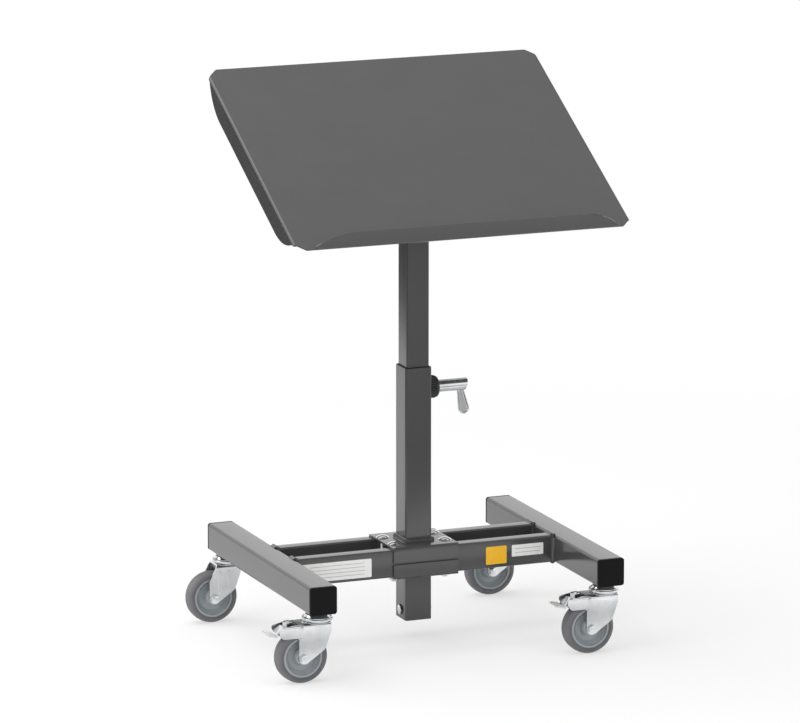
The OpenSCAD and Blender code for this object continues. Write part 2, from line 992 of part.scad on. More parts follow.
module pivot_bolt() {
    reach = bracket_out;
    color(zinc)
        in_tray() {
            translate([-reach - pivot_head_h, 0, 0])
                hex_x(pivot_head_af, pivot_head_h);
            translate([-reach, 0, 0])
                rod_x(pivot_d, 2 * reach + pivot_head_h + thread_out);
            translate([reach, 0, 0])
                difference() {
                    hex_x(pivot_head_af, pivot_head_h);
                    translate([-over, 0, 0])
                        rod_x(pivot_d + 2 * run_gap, pivot_head_h + 2 * over);
                }
        }
}

// Casters
module swivel_ring() {
    ring_r = race_d / 2 + ring_lip / 2;
    color(zinc)
        translate([0, 0, fork_top])
            difference() {
                rotate_extrude()
                    polygon([
                        [0, 0], [ring_r - ring_lip, 0], [ring_r, ring_lip_h], [ring_r, ring_h - ring_lip_h / 2],
                        [ring_r - ring_lip / 2, ring_h], [0, ring_h]
                    ]);
                translate([0, 0, -over])
                    cylinder(d = stem_d + 2 * run_gap, h = ring_h + 2 * over);
            }
}

// Side outline of a fork's leg, from the head down to the round nose at the axle
function leg_circles() = [
    [-trail, wheel_r, nose_r],
    [fork_front - knee_in, wheel_r + knee_up, knee_r],
    [fork_front - fork_bend, fork_top - 2 * fork_bend, fork_bend],
    [fork_front - fork_t, fork_top, fork_t],
    [-fork_back + fork_t, fork_top, fork_t],
    [-trail - nose_r + fork_bend, wheel_r + 3 * nose_r, fork_bend]
];

// Side outline of the brake arm that reaches over the wheel
function arm_circles() = [
    [arm_tip_x + arm_foot_in, arm_low + arm_foot_r, arm_foot_r],
    [-trail - nose_r + fork_bend, arm_low + fork_bend, fork_bend],
    [-fork_back, fork_top - fork_bend, fork_bend],
    [-web_back, fork_top - fork_bend, fork_bend],
    [arm_tip_x + arm_tip_in, fork_top - arm_tip_drop, arm_tip_r]
];

// Round fillet where the arm's lower edge meets the leg
module arm_fillet() {
    translate([-trail - nose_r - arm_fillet, arm_low - arm_fillet])
        difference() {
            square(arm_fillet + over);
            circle(arm_fillet);
        }
}

// Pressed fork: a folded channel cut to the side outline, with the kingpin and axle holes
module fork(braked) {
    l = 4 * race_d;
    color(zinc)
        difference() {
            intersection() {
                translate([-l / 2, 0, 0])
                    along_x(l)
                        difference() {
                            translate([0, fork_top / 2])
                                rounded_rect(fork_w, fork_top, fork_bend);
                            translate([0, fork_top / 2 - fork_t])
                                rounded_rect(2 * fork_in, fork_top, fork_bend - fork_t);
                        }
                across_y(fork_w + over) {
                    polygon(belt(leg_circles()));
                    if (braked) {
                        polygon(belt(arm_circles()));
                        arm_fillet();
                    }
                }
            }
            if (braked)
                translate([-l - web_back, -fork_in, wheel_r])
                    cube([l, 2 * fork_in, fork_top]);
            translate([0, 0, fork_top / 2])
                cylinder(d = stem_d + 2 * run_gap, h = fork_top);
            translate([-trail, 0, wheel_r])
                rotate([90, 0, 0])
                    cylinder(d = axle_d + 2 * run_gap, h = 2 * fork_w, center = true);
            if (braked)
                translate([brake_pin_x, 0, brake_pin_z])
                    rotate([90, 0, 0])
                        cylinder(d = brake_pin_d + 2 * run_gap, h = 2 * fork_w, center = true);
        }
}

// Two upright pressed ribs on each leg of a plain fork
module fork_ribs() {
    rib_l = fork_top - wheel_r - 3 * nose_r;
    color(zinc)
        for (x = [-trail + nose_r, -trail + nose_r + rib_step], turn = [0, 180])
            rotate([0, 0, turn])
                translate([turn == 0 ? x : -x, -fork_w / 2, wheel_r + 3 * nose_r / 2])
                    rotate([90, 0, 0])
                        linear_extrude(rib_t) {
                            translate([-rib_w / 2, 0])
                                square([rib_w, rib_l]);
                            for (y = [0, rib_l])
                                translate([0, y])
                                    circle(d = rib_w);
                        }
}

// Axle group: bolt, nut and the sleeve that the wheel runs on
module axle() {
    color(zinc)
        translate([-trail, 0, wheel_r])
            rotate([0, 0, 90]) {
                translate([-fork_w / 2 - axle_head_h, 0, 0])
                    hex_x(axle_head_af, axle_head_h);
                translate([-fork_w / 2, 0, 0])
                    rod_x(axle_d, fork_w + axle_nut_h + thread_out);
                translate([fork_w / 2, 0, 0])
                    difference() {
                        hex_x(axle_head_af, axle_nut_h);
                        translate([-over, 0, 0])
                            rod_x(axle_d + 2 * run_gap, axle_nut_h + 2 * over);
                    }
                translate([-fork_in, 0, 0])
                    difference() {
                        rod_x(sleeve_d, 2 * fork_in);
                        translate([-over, 0, 0])
                            rod_x(axle_d + 2 * run_gap, 2 * fork_in + 2 * over);
                    }
            }
}

module on_axle() {
    translate([-trail, 0, wheel_r])
        rotate([90, 0, 0])
            children();
}

module rim() {
    rim_half = tyre_w / 2 - rim_edge;
    hub_half = fork_in - hub_gap;
    ring_in = rim_r - rim_ring;
    bore_r = sleeve_d / 2 + run_gap;
    half = [
        [bore_r, hub_half], [hub_d / 2, hub_half], [hub_d / 2 + web_half, web_half], [ring_in - rim_recess, web_half],
        [ring_in, rim_half - rim_recess / 2], [ring_in, rim_half], [rim_r - slide_gap, rim_half]
    ];
    color(grey_plastic)
        on_axle()
            rotate_extrude()
                polygon(concat(half, [for (i = [len(half) - 1:-1:0]) [half[i][0], -half[i][1]]]));
}

module tyre() {
    color(rubber)
        on_axle()
            rotate_extrude()
                translate([rim_r, 0])
                    intersection() {
                        translate([0, -tyre_w / 2])
                            square([tyre_depth, tyre_w]);
                        union() {
                            translate([0, -tyre_w / 2])
                                square([tyre_depth - tyre_shoulder, tyre_w]);
                            translate([0, -tyre_w / 2 + tyre_shoulder])
                                square([tyre_depth, tyre_w - 2 * tyre_shoulder]);
                            for (s = [-1, 1])
                                translate([tyre_depth - tyre_shoulder, s * (tyre_w / 2 - tyre_shoulder)])
                                    circle(tyre_shoulder);
                        }
                    }
}

// Foot pedal: an eye on the pin, a lever that steps down behind the arms, and a wider ridged tread
module pedal() {
    tip_x = -pedal_reach;
    foot_x = tip_x + pedal_tip_l;
    knee_x = brake_screw_x - pedal_knee;
    top_z = brake_pin_z + pedal_eye_r / 2;
    foot_z = top_z - pedal_drop;
    slope = atan2(pedal_rise, pedal_tip_l);
    under = [0, -pedal_t];
    color(zinc) {
        difference() {
            across_y(pedal_w) {
                polygon([
                    [brake_pin_x, top_z], [knee_x, top_z], [foot_x, foot_z],
                    [foot_x, foot_z] + under, [knee_x, top_z] + under, [brake_pin_x, top_z] + under
                ]);
                translate([brake_pin_x, brake_pin_z])
                    circle(pedal_eye_r);
            }
            translate([brake_pin_x, 0, brake_pin_z])
                rotate([90, 0, 0])
                    cylinder(d = brake_pin_d + 2 * run_gap, h = 2 * fork_w, center = true);
            translate([brake_screw_x, 0, top_z - 2 * pedal_t])
                cylinder(d = brake_screw_d + 2 * run_gap, h = 4 * pedal_t);
        }
        across_y(pedal_tip_w)
            polygon([
                [foot_x, foot_z], [tip_x, foot_z + pedal_rise], [tip_x, foot_z + pedal_rise] + under,
                [foot_x, foot_z] + under
            ]);
        for (i = [0:ridge_count - 1])
            translate([foot_x, 0, foot_z])
                rotate([0, slope, 0])
                    translate([-(i + 1) * pedal_tip_l / (ridge_count + 1), 0, 0])
                        rotate([90, 0, 0])
                            cylinder(r = ridge_r, h = pedal_tip_w - 4 * ridge_r, center = true, $fn = 16);
    }
}

// Brake block: a curved shoe over the tyre on the adjusting screw
module brake_block() {
    top_z = brake_pin_z + pedal_eye_r / 2;
    shoe_r = wheel_r + shoe_gap;
    color(zinc) {
        translate([brake_screw_x, 0, top_z])
            hex(brake_head_af, brake_head_h);
        difference() {
            translate([brake_screw_x, 0, wheel_r + wheel_r * sin(shoe_from)])
                cylinder(
                    d = brake_screw_d,
                    h = top_z + brake_head_h + thread_out - wheel_r - wheel_r * sin(shoe_from)
                );
            on_axle()
                cylinder(r = shoe_r + shoe_t / 2, h = shoe_w, center = true);
        }
        on_axle()
            linear_extrude(shoe_w, center = true)
                intersection() {
                    difference() {
                        circle(shoe_r + shoe_t);
                        circle(shoe_r);
                    }
                    polygon(concat([[0, 0]], arc([0, 0], 2 * shoe_r, shoe_from, shoe_to, 2)));
                }
    }
}

module brake_rivet() {
    color(zinc)
        translate([brake_pin_x, 0, brake_pin_z])
            rotate([0, 0, 90]) {
                translate([-fork_w / 2, 0, 0])
                    rod_x(brake_pin_d, fork_w);
                for (turn = [0, 180])
                    rotate([0, 0, turn])
                        translate([fork_w / 2, 0, 0])
                            rotate([0, 90, 0])
                                dome(brake_pin_head_d, brake_pin_head_h);
            }
}

module swivel_ring_front_left() {
    at_caster(left, front)
        swivel_ring();
}

module swivel_ring_front_right() {
    at_caster(right, front)
        swivel_ring();
}

module swivel_ring_rear_left() {
    at_caster(left, rear)
        swivel_ring();
}

module swivel_ring_rear_right() {
    at_caster(right, rear)
        swivel_ring();
}

module fork_front_left() {
    at_caster(left, front)
        fork(true);
}

module fork_front_right() {
    at_caster(right, front)
        fork(true);
}

module fork_rear_left() {
    at_caster(left, rear) {
        fork(false);
        fork_ribs();
    }
}

module fork_rear_right() {
    at_caster(right, rear) {
        fork(false);
        fork_ribs();
    }
}

module axle_front_left() {
    at_caster(left, front)
        axle();
}

module axle_front_right() {
    at_caster(right, front)
        axle();
}

module axle_rear_left() {
    at_caster(left, rear)
        axle();
}

module axle_rear_right() {
    at_caster(right, rear)
        axle();
}

module rim_front_left() {
    at_caster(left, front)
        rim();
}

module rim_front_right() {
    at_caster(right, front)
        rim();
}

module rim_rear_left() {
    at_caster(left, rear)
        rim();
}

module rim_rear_right() {
    at_caster(right, rear)
        rim();
}

module tyre_front_left() {
    at_caster(left, front)
        tyre();
}

module tyre_front_right() {
    at_caster(right, front)
        tyre();
}

module tyre_rear_left() {
    at_caster(left, rear)
        tyre();
}

module tyre_rear_right() {
    at_caster(right, rear)
        tyre();
}

module pedal_front_left() {
    at_caster(left, front)
        pedal();
}

module pedal_front_right() {
    at_caster(right, front)
        pedal();
}

module brake_block_front_left() {
    at_caster(left, front)
        brake_block();
}

module brake_block_front_right() {
    at_caster(right, front)
        brake_block();
}

module brake_rivet_front_left() {
    at_caster(left, front)
        brake_rivet();
}

module brake_rivet_front_right() {
    at_caster(right, front)
        brake_rivet();
}

left_beam();
right_beam();
end_caps();
front_rail();
rear_rail();
rail_welds();
swivel_stems();
stem_nuts();
clamp_top_plate();
clamp_bottom_plate();
clamp_bolts();
clamp_nuts();
outer_tube();
column_weld();
guide_bush();
stop_bolt();
stop_sleeve();
stop_nut();
clamp_boss();
clamp_pad();
clamp_spindle();
clamp_barrel();
clamp_lever();
mast_tube();
mast_foot();
pivot_bushes();
tilt_bolt();
tilt_spacer();
tilt_lever();
tray();
left_bracket();
right_bracket();
pivot_bolt();
swivel_ring_front_left();
fork_front_left();
axle_front_left();
rim_front_left();
tyre_front_left();
swivel_ring_front_right();
fork_front_right();
axle_front_right();
rim_front_right();
tyre_front_right();
swivel_ring_rear_left();
fork_rear_left();
axle_rear_left();
rim_rear_left();
tyre_rear_left();
swivel_ring_rear_right();
fork_rear_right();
axle_rear_right();
rim_rear_right();
tyre_rear_right();
pedal_front_left();
brake_block_front_left();
brake_rivet_front_left();
pedal_front_right();
brake_block_front_right();
brake_rivet_front_right();
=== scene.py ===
"""Looks of the tilting material cart: finishes, fine detail and studio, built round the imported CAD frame."""

import json
import logging
import math
from dataclasses import dataclass
from enum import Enum
from typing import Sequence

import bmesh
import bpy
from mathutils import Matrix, Vector

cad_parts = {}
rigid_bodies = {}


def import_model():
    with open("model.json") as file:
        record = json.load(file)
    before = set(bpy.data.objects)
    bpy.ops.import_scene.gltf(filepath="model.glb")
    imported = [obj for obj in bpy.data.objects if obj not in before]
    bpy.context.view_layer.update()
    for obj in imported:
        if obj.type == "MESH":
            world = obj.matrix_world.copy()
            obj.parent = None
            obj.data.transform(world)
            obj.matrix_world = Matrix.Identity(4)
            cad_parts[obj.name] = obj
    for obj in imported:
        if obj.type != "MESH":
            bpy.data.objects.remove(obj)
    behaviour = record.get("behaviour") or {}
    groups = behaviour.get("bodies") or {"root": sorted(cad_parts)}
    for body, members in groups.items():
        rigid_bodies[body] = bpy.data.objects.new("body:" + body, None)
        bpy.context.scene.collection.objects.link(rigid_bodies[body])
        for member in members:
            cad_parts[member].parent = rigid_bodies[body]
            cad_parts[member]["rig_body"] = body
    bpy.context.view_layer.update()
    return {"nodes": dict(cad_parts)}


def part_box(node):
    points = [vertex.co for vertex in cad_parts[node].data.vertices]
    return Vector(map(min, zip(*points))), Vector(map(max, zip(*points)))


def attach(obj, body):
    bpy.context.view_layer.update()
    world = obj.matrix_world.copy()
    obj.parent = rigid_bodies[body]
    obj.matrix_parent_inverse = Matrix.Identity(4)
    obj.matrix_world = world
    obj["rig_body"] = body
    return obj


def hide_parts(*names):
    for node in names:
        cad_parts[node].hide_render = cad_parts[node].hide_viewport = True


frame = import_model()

MM = 0.001
CASTERS = ("front_left", "front_right", "rear_left", "rear_right")
BRAKED = ("front_left", "front_right")
MATH = "ShaderNodeMath"

# Meshes: what counts as a sharp edge, as a flat face and as one point, and how finely round things are cut
SHARP_ANGLE = math.radians(32)
FLAT_ANGLE = math.radians(1)
MERGE_GAP = 0.001 * MM
TURN_STEPS = 24
WHEEL_STEPS = 96
CORNER_STEPS = 4
ROUNDING_STEPS = 2

# Patterns: the part of a noise's range where nearly all of it lies, its gain, and the detail of its clouds
NOISE_LOW, NOISE_HIGH = 0.3, 0.7
NOISE_GAIN = 0.55
CLOUD_DETAIL = 4.0

# Hexagons: half the angle of a flat, the chamfer, the share of the top left flat, and the bore's lead-in
HEX_STEPS = 48
HEX_HALF = math.pi / 6
HEX_CHAMFER = math.radians(30)
HEX_FACE = 0.95
LEAD_IN = 0.5

# Threads: pitch of M8, rows in a turn, depth in pitches, its share under the rod's face, turns to full depth
M8_PITCH = 1.25
THREAD_ROWS = 8
THREAD_DEPTH = 0.45
THREAD_ROOT = 0.4
THREAD_FADE = 1 / 3
THREAD_SLACK = 0.2
NUT_SLACK = 0.1

# Welds: step, corner radius and flatness of a drop in legs, the range of its uneven size, and its seed and cuts
DROP_STEP = 0.32
DROP_CORNER = 0.6
DROP_FLAT = 0.62
DROP_SIZES = (0.92, 1.06)
DROP_SEED = 7
DROP_CUTS = 2

log = logging.getLogger("cart")

Mesh = bpy.types.Mesh
Socket = bpy.types.NodeSocket
Tree = bpy.types.NodeTree


class Edge(Enum):
    """How wide an edge comes out of each way of making a piece, in millimetres."""

    SAWN = 0.3
    SHEARED = 0.4
    PRESSED = 0.6
    MOULDED = 1.0


class Axis(Enum):
    """Which way a fastener's own +Z points on the cart."""

    RIGHT = Matrix.Rotation(math.pi / 2, 4, "Y")
    LEFT = Matrix.Rotation(-math.pi / 2, 4, "Y")
    BACK = Matrix.Rotation(-math.pi / 2, 4, "X")
    FRONT = Matrix.Rotation(math.pi / 2, 4, "X")

    def at(self, place: Sequence[float]) -> Matrix:
        """Returns the matrix that turns a fastener this way and puts its origin at a place in metres."""
        return Matrix.Translation(place) @ self.value


def linear(colour: str) -> tuple[float, float, float, float]:
    """Turns an sRGB hex colour into the linear values that a shader takes.

    Args:
        colour: Six hex digits after a hash, such as "#47494b".

    Returns:
        Linear red, green and blue, and an alpha of 1.
    """
    channels = [int(colour[i:i + 2], 16) / 255 for i in (1, 3, 5)]
    red, green, blue = (c / 12.92 if c <= 0.04045 else ((c + 0.055) / 1.055) ** 2.4 for c in channels)
    return red, green, blue, 1.0


def add_node(tree: Tree, kind: str, inputs: dict | None = None,
             **settings: object) -> bpy.types.Node:
    """Adds one node to a tree, with its settings, constants and links.

    Args:
        tree: The shader or geometry tree.
        kind: The node's type name.
        inputs: Input name or number to a constant, or to the socket that feeds it.
        **settings: The node's own settings, such as operation="ADD".

    Returns:
        The new node.
    """
    node = tree.nodes.new(kind)
    for name, value in settings.items():
        setattr(node, name, value)
    for key, value in (inputs or {}).items():
        if isinstance(value, Socket):
            tree.links.new(value, node.inputs[key])
        else:
            node.inputs[key].default_value = value
    return node


@dataclass(frozen=True)
class Finish:
    """What every finish has: a name and slot, two tones, a gloss, and the sizes of its grain and clouds."""

    name: str
    slot: str
    colour: str
    other: str
    roughness: float
    grain: float = 0.8
    relief: float = 0.01
    detail: float = 2.0
    cloud: float = 30.0
    uneven: float = 0.5
    drift: float = 0.04

    def material(self) -> bpy.types.Material:
        """Makes the finish's material on first use, and finds it again after that.

        Returns:
            The material.
        """
        made = bpy.data.materials.get(self.name)
        if made is None:
            made = bpy.data.materials.new(self.name)
            made.use_nodes = True
            tree = made.node_tree
            tree.nodes.clear()
            shader = add_node(tree, "ShaderNodeBsdfPrincipled", {**self.skin(tree), **self.substance()})
            add_node(tree, "ShaderNodeOutputMaterial", {"Surface": shader.outputs[0]})
        return made

    def substance(self) -> dict[str, float]:
        """Returns what the material is made of, as constants of the shader. Each finish has its own."""
        raise NotImplementedError

    def skin(self, tree: Tree) -> dict[str, Socket]:
        """Builds the surface: a fine grain in gloss and relief, and a slow cloud from one tone to the other.

        Args:
            tree: The material's tree.

        Returns:
            Shader input to the socket that feeds it.
        """
        place = add_node(tree, "ShaderNodeTexCoord").outputs["Object"]
        fine = add_node(tree, "ShaderNodeTexNoise", {
            "Vector": place, "Scale": 1 / (self.grain * MM), "Detail": self.detail,
            "Roughness": NOISE_GAIN,
        }).outputs["Fac"]
        slow = add_node(tree, "ShaderNodeTexNoise", {
            "Vector": place, "Scale": 1 / (self.cloud * MM), "Detail": CLOUD_DETAIL,
            "Roughness": NOISE_GAIN,
        }).outputs["Fac"]
        share = add_node(tree, "ShaderNodeMapRange", {
            "Value": slow, "From Min": NOISE_LOW, "From Max": NOISE_HIGH,
            "To Min": 0.0, "To Max": self.uneven,
        }).outputs["Result"]
        gloss = add_node(tree, "ShaderNodeMapRange", {
            "Value": fine, "From Min": NOISE_LOW, "From Max": NOISE_HIGH,
            "To Min": self.roughness - self.drift, "To Max": self.roughness + self.drift,
        }).outputs["Result"]
        tone = add_node(tree, "ShaderNodeMix", {0: share, 6: linear(self.colour), 7: linear(self.other)},
                        data_type="RGBA").outputs[2]
        relief = add_node(tree, "ShaderNodeBump", {"Height": fine, "Distance": self.relief * MM})
        return {"Base Color": tone, "Roughness": gloss, "Normal": relief.outputs["Normal"]}


@dataclass(frozen=True)
class PowderCoat(Finish):
    """Baked polyester powder: an even dark grey film that mirrors the room, with a low orange peel."""

    def substance(self) -> dict[str, float]:
        """Returns the constants of cured polyester resin over pigment."""
        return {"IOR": 1.57}


@dataclass(frozen=True)
class BrightZinc(Finish):
    """Zinc, plated on pressed steel or die cast: a bright metal with a soft mottle in tone and in gloss."""

    detail: float = 3.0

    def substance(self) -> dict[str, float]:
        """Returns the constants of a bare metal."""
        return {"Metallic": 1.0}


@dataclass(frozen=True)
class MouldedPlastic(Finish):
    """Injection-moulded polyolefin or nylon: the eroded face of the mould gives it a fine even grain."""

    index: float = 1.5

    def substance(self) -> dict[str, float]:
        """Returns the constants of the plastic, whose grain can hold back its gloss."""
        return {"IOR": self.index}


@dataclass(frozen=True)
class WheelRubber(Finish):
    """Grey thermoplastic rubber: matt, with a bloom and a little floor dust on the tread."""

    drift: float = 0.06

    def substance(self) -> dict[str, float]:
        """Returns the constants of a filled rubber."""
        return {"IOR": 1.52}


@dataclass(frozen=True)
class LabelFilm(Finish):
    """Polyester film with a clear top coat, smooth and slightly wavy over its glue."""

    grain: float = 9.0
    relief: float = 0.02

    def substance(self) -> dict[str, float]:
        """Returns the constants of the clear coat."""
        return {"IOR": 1.57}


# Dark grey powder coat: even and glossy, so each face takes the tone it mirrors and edges show as thin lights
PAINT = PowderCoat("powder_coat_grey", "painted_steel", "#404040", "#464646", roughness=0.15, grain=1.1,
                   relief=0.002, cloud=66.0, uneven=0.4, drift=0.02)
# Bright zinc plate on steel: white beside black in its reflections, with a faint cloudiness unlike chrome
ZINC = BrightZinc("zinc_plating", "zinc_steel", "#dadcdd", "#aeb1b3", roughness=0.15, grain=1.6, relief=0.004)
# Zinc a tone darker and satin, laid in the lever's dishes as painted shade, so they read as sunk between
# borders
DISH_SHADE_ZINC = BrightZinc("zinc_dish_painted_shade", "zinc_steel", "#b6b8b9", "#a4a6a7", roughness=0.38, grain=0.5,
                       relief=0.03, cloud=12.0)
# Black polyethylene: its fine grain swallows the light, which makes the caps the darkest thing on the cart
BLACK = MouldedPlastic("polyethylene_black", "black_plastic", "#101010", "#171717", roughness=0.42, grain=0.5,
                       cloud=15.0, index=1.18)
# Black nylon: a coarser grain with a soft sheen, so the boss's ribs catch a little light
NYLON = MouldedPlastic("nylon_black", "black_plastic", "#1d1d1d", "#262626", roughness=0.4, grain=0.7,
                       relief=0.03, cloud=20.0)
# Grey polypropylene: slightly waxy and lighter than the tyre, so the rim shows as a pale ring in the wheel
RIM_GREY = MouldedPlastic("polypropylene_grey", "wheel_rim", "#949a9e", "#a2a7aa", roughness=0.3, grain=0.6,
                          relief=0.006, cloud=18.0)
# Grey rubber: dry and matt with a pale bloom, so the tyre looks soft beside its rim
RUBBER = WheelRubber("rubber_grey", "tyre", "#5e5e61", "#787878", roughness=0.62, grain=0.7,
                     relief=0.012, cloud=17.0)
# White label film: the cleanest and brightest patch on the dark rail, a little wavy in its reflections
WHITE_FILM = LabelFilm("film_white", "painted_steel", "#f0f0ee", "#e9e9e6", roughness=0.3)
# Yellow label film: the cart's one strong colour
YELLOW_FILM = LabelFilm("film_yellow", "painted_steel", "#f7bd10", "#f2b60c", roughness=0.3)
# Grey ink: thin rules that look like a filled-in form from a step away
INK = LabelFilm("film_grey_ink", "painted_steel", "#77787a", "#6c6d6f", roughness=0.4)


def arc(centre: Sequence[float], radius: float, start: float, end: float, steps: int,
        rise: float | None = None) -> list[tuple[float, float]]:
    """Runs round part of a circle or an ellipse.

    Args:
        centre: Its middle.
        radius: Its radius along the first axis.
        start: First angle, in radians.
        end: Last angle, in radians.
        steps: Straight pieces that it is cut into.
        rise: Its radius along the second axis, where that differs.

    Returns:
        One point more than the steps, in the centre's units.
    """
    turns = [start + (end - start) * step / steps for step in range(steps + 1)]
    rise = radius if rise is None else rise
    return [(centre[0] + radius * math.cos(turn), centre[1] + rise * math.sin(turn)) for turn in turns]


def polished(mesh: Mesh, recalculate: bool = False) -> Mesh:
    """Welds a mesh and shades it smooth up to the sharp angle.

    Args:
        mesh: The mesh, changed in place.
        recalculate: True where a turned or mirrored shape may face inwards.

    Returns:
        The same mesh.
    """
    shape = bmesh.new()
    shape.from_mesh(mesh)
    bmesh.ops.remove_doubles(shape, verts=shape.verts, dist=MERGE_GAP)
    if recalculate:
        bmesh.ops.recalc_face_normals(shape, faces=shape.faces)
    shape.to_mesh(mesh)
    shape.free()
    mesh.shade_smooth()
    mesh.set_sharp_from_angle(angle=SHARP_ANGLE)
    return mesh


class Recipe:
    """A Geometry Nodes tree with named inputs, which is evaluated once into a plain mesh."""

    def __init__(self, name: str, sizes: dict[str, float]) -> None:
        """Starts the tree, with one input for each size.

        Args:
            name: The recipe's name.
            sizes: Input name to its value: metres, radians or a count.
        """
        self.name = name
        self.sizes = sizes
        self.tree = bpy.data.node_groups.new(name, "GeometryNodeTree")
        sockets = self.tree.interface
        sockets.new_socket("Geometry", in_out="OUTPUT", socket_type="NodeSocketGeometry")
        sockets.new_socket("Geometry", in_out="INPUT", socket_type="NodeSocketGeometry")
        for size in sizes:
            sockets.new_socket(size, in_out="INPUT", socket_type="NodeSocketFloat")
        self.entry = add_node(self.tree, "NodeGroupInput")

    def size(self, name: str) -> Socket:
        """Returns the socket of a named input."""
        return self.entry.outputs[name]

    def add(self, kind: str, inputs: dict | None = None, **settings: object) -> bpy.types.Node:
        """Adds a node to this recipe's tree, as add_node does."""
        return add_node(self.tree, kind, inputs, **settings)

    def out(self, kind: str, inputs: dict | None = None, **settings: object) -> Socket:
        """Adds a node as add does, and returns its first output."""
        return self.add(kind, inputs, **settings).outputs[0]

    def maths(self, operation: str, *values: float | Socket) -> Socket:
        """Returns the result of one operation on its values, in a maths node."""
        return self.out(MATH, dict(enumerate(values)), operation=operation)

    def grid(self, along: object, rows: Socket, around: Socket) -> Socket:
        """Lays the flat sheet that a turned shape is bent from.

        Args:
            along: The sheet's size along X. Its size along Y is 1, which stands for one turn.
            rows: Points along X.
            around: Points along Y.

        Returns:
            The sheet's geometry.
        """
        return self.out("GeometryNodeMeshGrid", {
            "Size X": along, "Size Y": 1.0, "Vertices X": rows, "Vertices Y": around,
        })

    def bent(self, sheet: Socket, radius: Socket, turns: Socket, height: Socket) -> Socket:
        """Bends a sheet round Z.

        Args:
            sheet: The flat sheet.
            radius: Radius of each point.
            turns: Its angle, as a share of a turn.
            height: Its height.

        Returns:
            The bent geometry.
        """
        angle = self.maths("MULTIPLY", turns, math.tau)
        across = self.maths("MULTIPLY", radius, self.maths("COSINE", angle))
        deep = self.maths("MULTIPLY", radius, self.maths("SINE", angle))
        place = self.out("ShaderNodeCombineXYZ", {"X": across, "Y": deep, "Z": height})
        return self.out("GeometryNodeSetPosition", {"Geometry": sheet, "Position": place})

    def bake(self, geometry: Socket, finish: Finish, seed: Mesh | None = None,
             recalculate: bool = False) -> Mesh:
        """Ends the tree, sets its inputs and turns the result into a mesh.

        Args:
            geometry: The tree's last geometry.
            finish: The finish that it gets.
            seed: Mesh that goes into the tree.
            recalculate: True where the shape is closed and may face inwards.

        Returns:
            The mesh, welded and shaded.
        """
        solid = self.out("GeometryNodeRealizeInstances", {"Geometry": geometry})
        coated = self.out("GeometryNodeSetMaterial", {"Geometry": solid, "Material": finish.material()})
        self.add("NodeGroupOutput", {0: coated})
        holder = bpy.data.objects.new(self.name, seed or bpy.data.meshes.new(self.name))
        bpy.context.scene.collection.objects.link(holder)
        modifier = holder.modifiers.new(self.name, "NODES")
        modifier.node_group = self.tree
        for item in self.tree.interface.items_tree:
            if item.in_out == "INPUT" and item.name in self.sizes:
                modifier[item.identifier] = float(self.sizes[item.name])
        made = bpy.data.meshes.new_from_object(holder.evaluated_get(bpy.context.evaluated_depsgraph_get()))
        bpy.data.objects.remove(holder)
        return polished(made, recalculate)


def turned(name: str, profile: Sequence[tuple[float, float]], finish: Finish,
           steps: int = WHEEL_STEPS) -> Mesh:
    """Turns a closed profile about Z, as a lathe or a mould does, by a rule in Geometry Nodes.

    Args:
        name: The mesh's name.
        profile: Radius and height of each point, in millimetres, with the first one repeated at the end.
        finish: Its finish.
        steps: Faces round the axis.

    Returns:
        The turned mesh.
    """
    seed = bpy.data.meshes.new(name + "_profile")
    seed.from_pydata([(radius * MM, 0, height * MM) for radius, height in profile], [], [])
    rule = Recipe(name, {"Rows": len(profile), "Around": steps + 1})
    last = rule.maths("SUBTRACT", rule.size("Rows"), 1.0)
    sheet = rule.grid(last, rule.size("Rows"), rule.size("Around"))
    place = rule.out("GeometryNodeInputPosition")
    flat = rule.add("ShaderNodeSeparateXYZ", {0: place}).outputs
    half = rule.maths("MULTIPLY", rule.size("Rows"), 0.5)
    row = rule.maths("FLOOR", rule.maths("ADD", flat["X"], half))
    point = rule.out("GeometryNodeSampleIndex", {
        "Geometry": rule.size("Geometry"), "Value": place, "Index": row,
    }, data_type="FLOAT_VECTOR")
    section = rule.add("ShaderNodeSeparateXYZ", {0: point}).outputs
    made = rule.bent(sheet, section["X"], flat["Y"], section["Z"])
    return rule.bake(made, finish, seed, recalculate=True)


def thread(name: str, diameter: float, pitch: float, length: float, finish: Finish) -> Mesh:
    """Winds a screw thread round a plain rod, from its origin up.

    Args:
        name: The mesh's name.
        diameter: The rod's diameter, in millimetres.
        pitch: Rise in one turn, in millimetres.
        length: Length of the thread, in millimetres.
        finish: Its finish.

    Returns:
        The thread's mesh, whose ends run into the rod.
    """
    rule = Recipe(name, {"Radius": diameter / 2 * MM, "Depth": THREAD_DEPTH * pitch * MM, "Pitch": pitch * MM,
                         "Length": length * MM, "Rows": math.ceil(THREAD_ROWS * length / pitch) + 1,
                         "Around": TURN_STEPS + 1})
    sheet = rule.grid(1.0, rule.size("Rows"), rule.size("Around"))
    flat = rule.add("ShaderNodeSeparateXYZ", {0: rule.out("GeometryNodeInputPosition")}).outputs
    share = rule.maths("ADD", flat["X"], 0.5)
    height = rule.maths("MULTIPLY", share, rule.size("Length"))
    rise = rule.maths("DIVIDE", height, rule.size("Pitch"))
    ridge = rule.maths("PINGPONG", rule.maths("SUBTRACT", rise, flat["Y"]), 0.5)
    crest = rule.maths("MULTIPLY_ADD", ridge, 2.0, -THREAD_ROOT)
    whole = rule.maths("DIVIDE", rule.size("Length"), rule.size("Pitch"))
    ends = rule.maths("MULTIPLY", rule.maths("PINGPONG", share, 0.5), whole)
    fade = rule.maths("MINIMUM", rule.maths("DIVIDE", ends, THREAD_FADE), 1.0)
    depth = rule.maths("MULTIPLY", fade, rule.size("Depth"))
    radius = rule.maths("MULTIPLY_ADD", crest, depth, rule.size("Radius"))
    return rule.bake(rule.bent(sheet, radius, flat["Y"], height), finish)


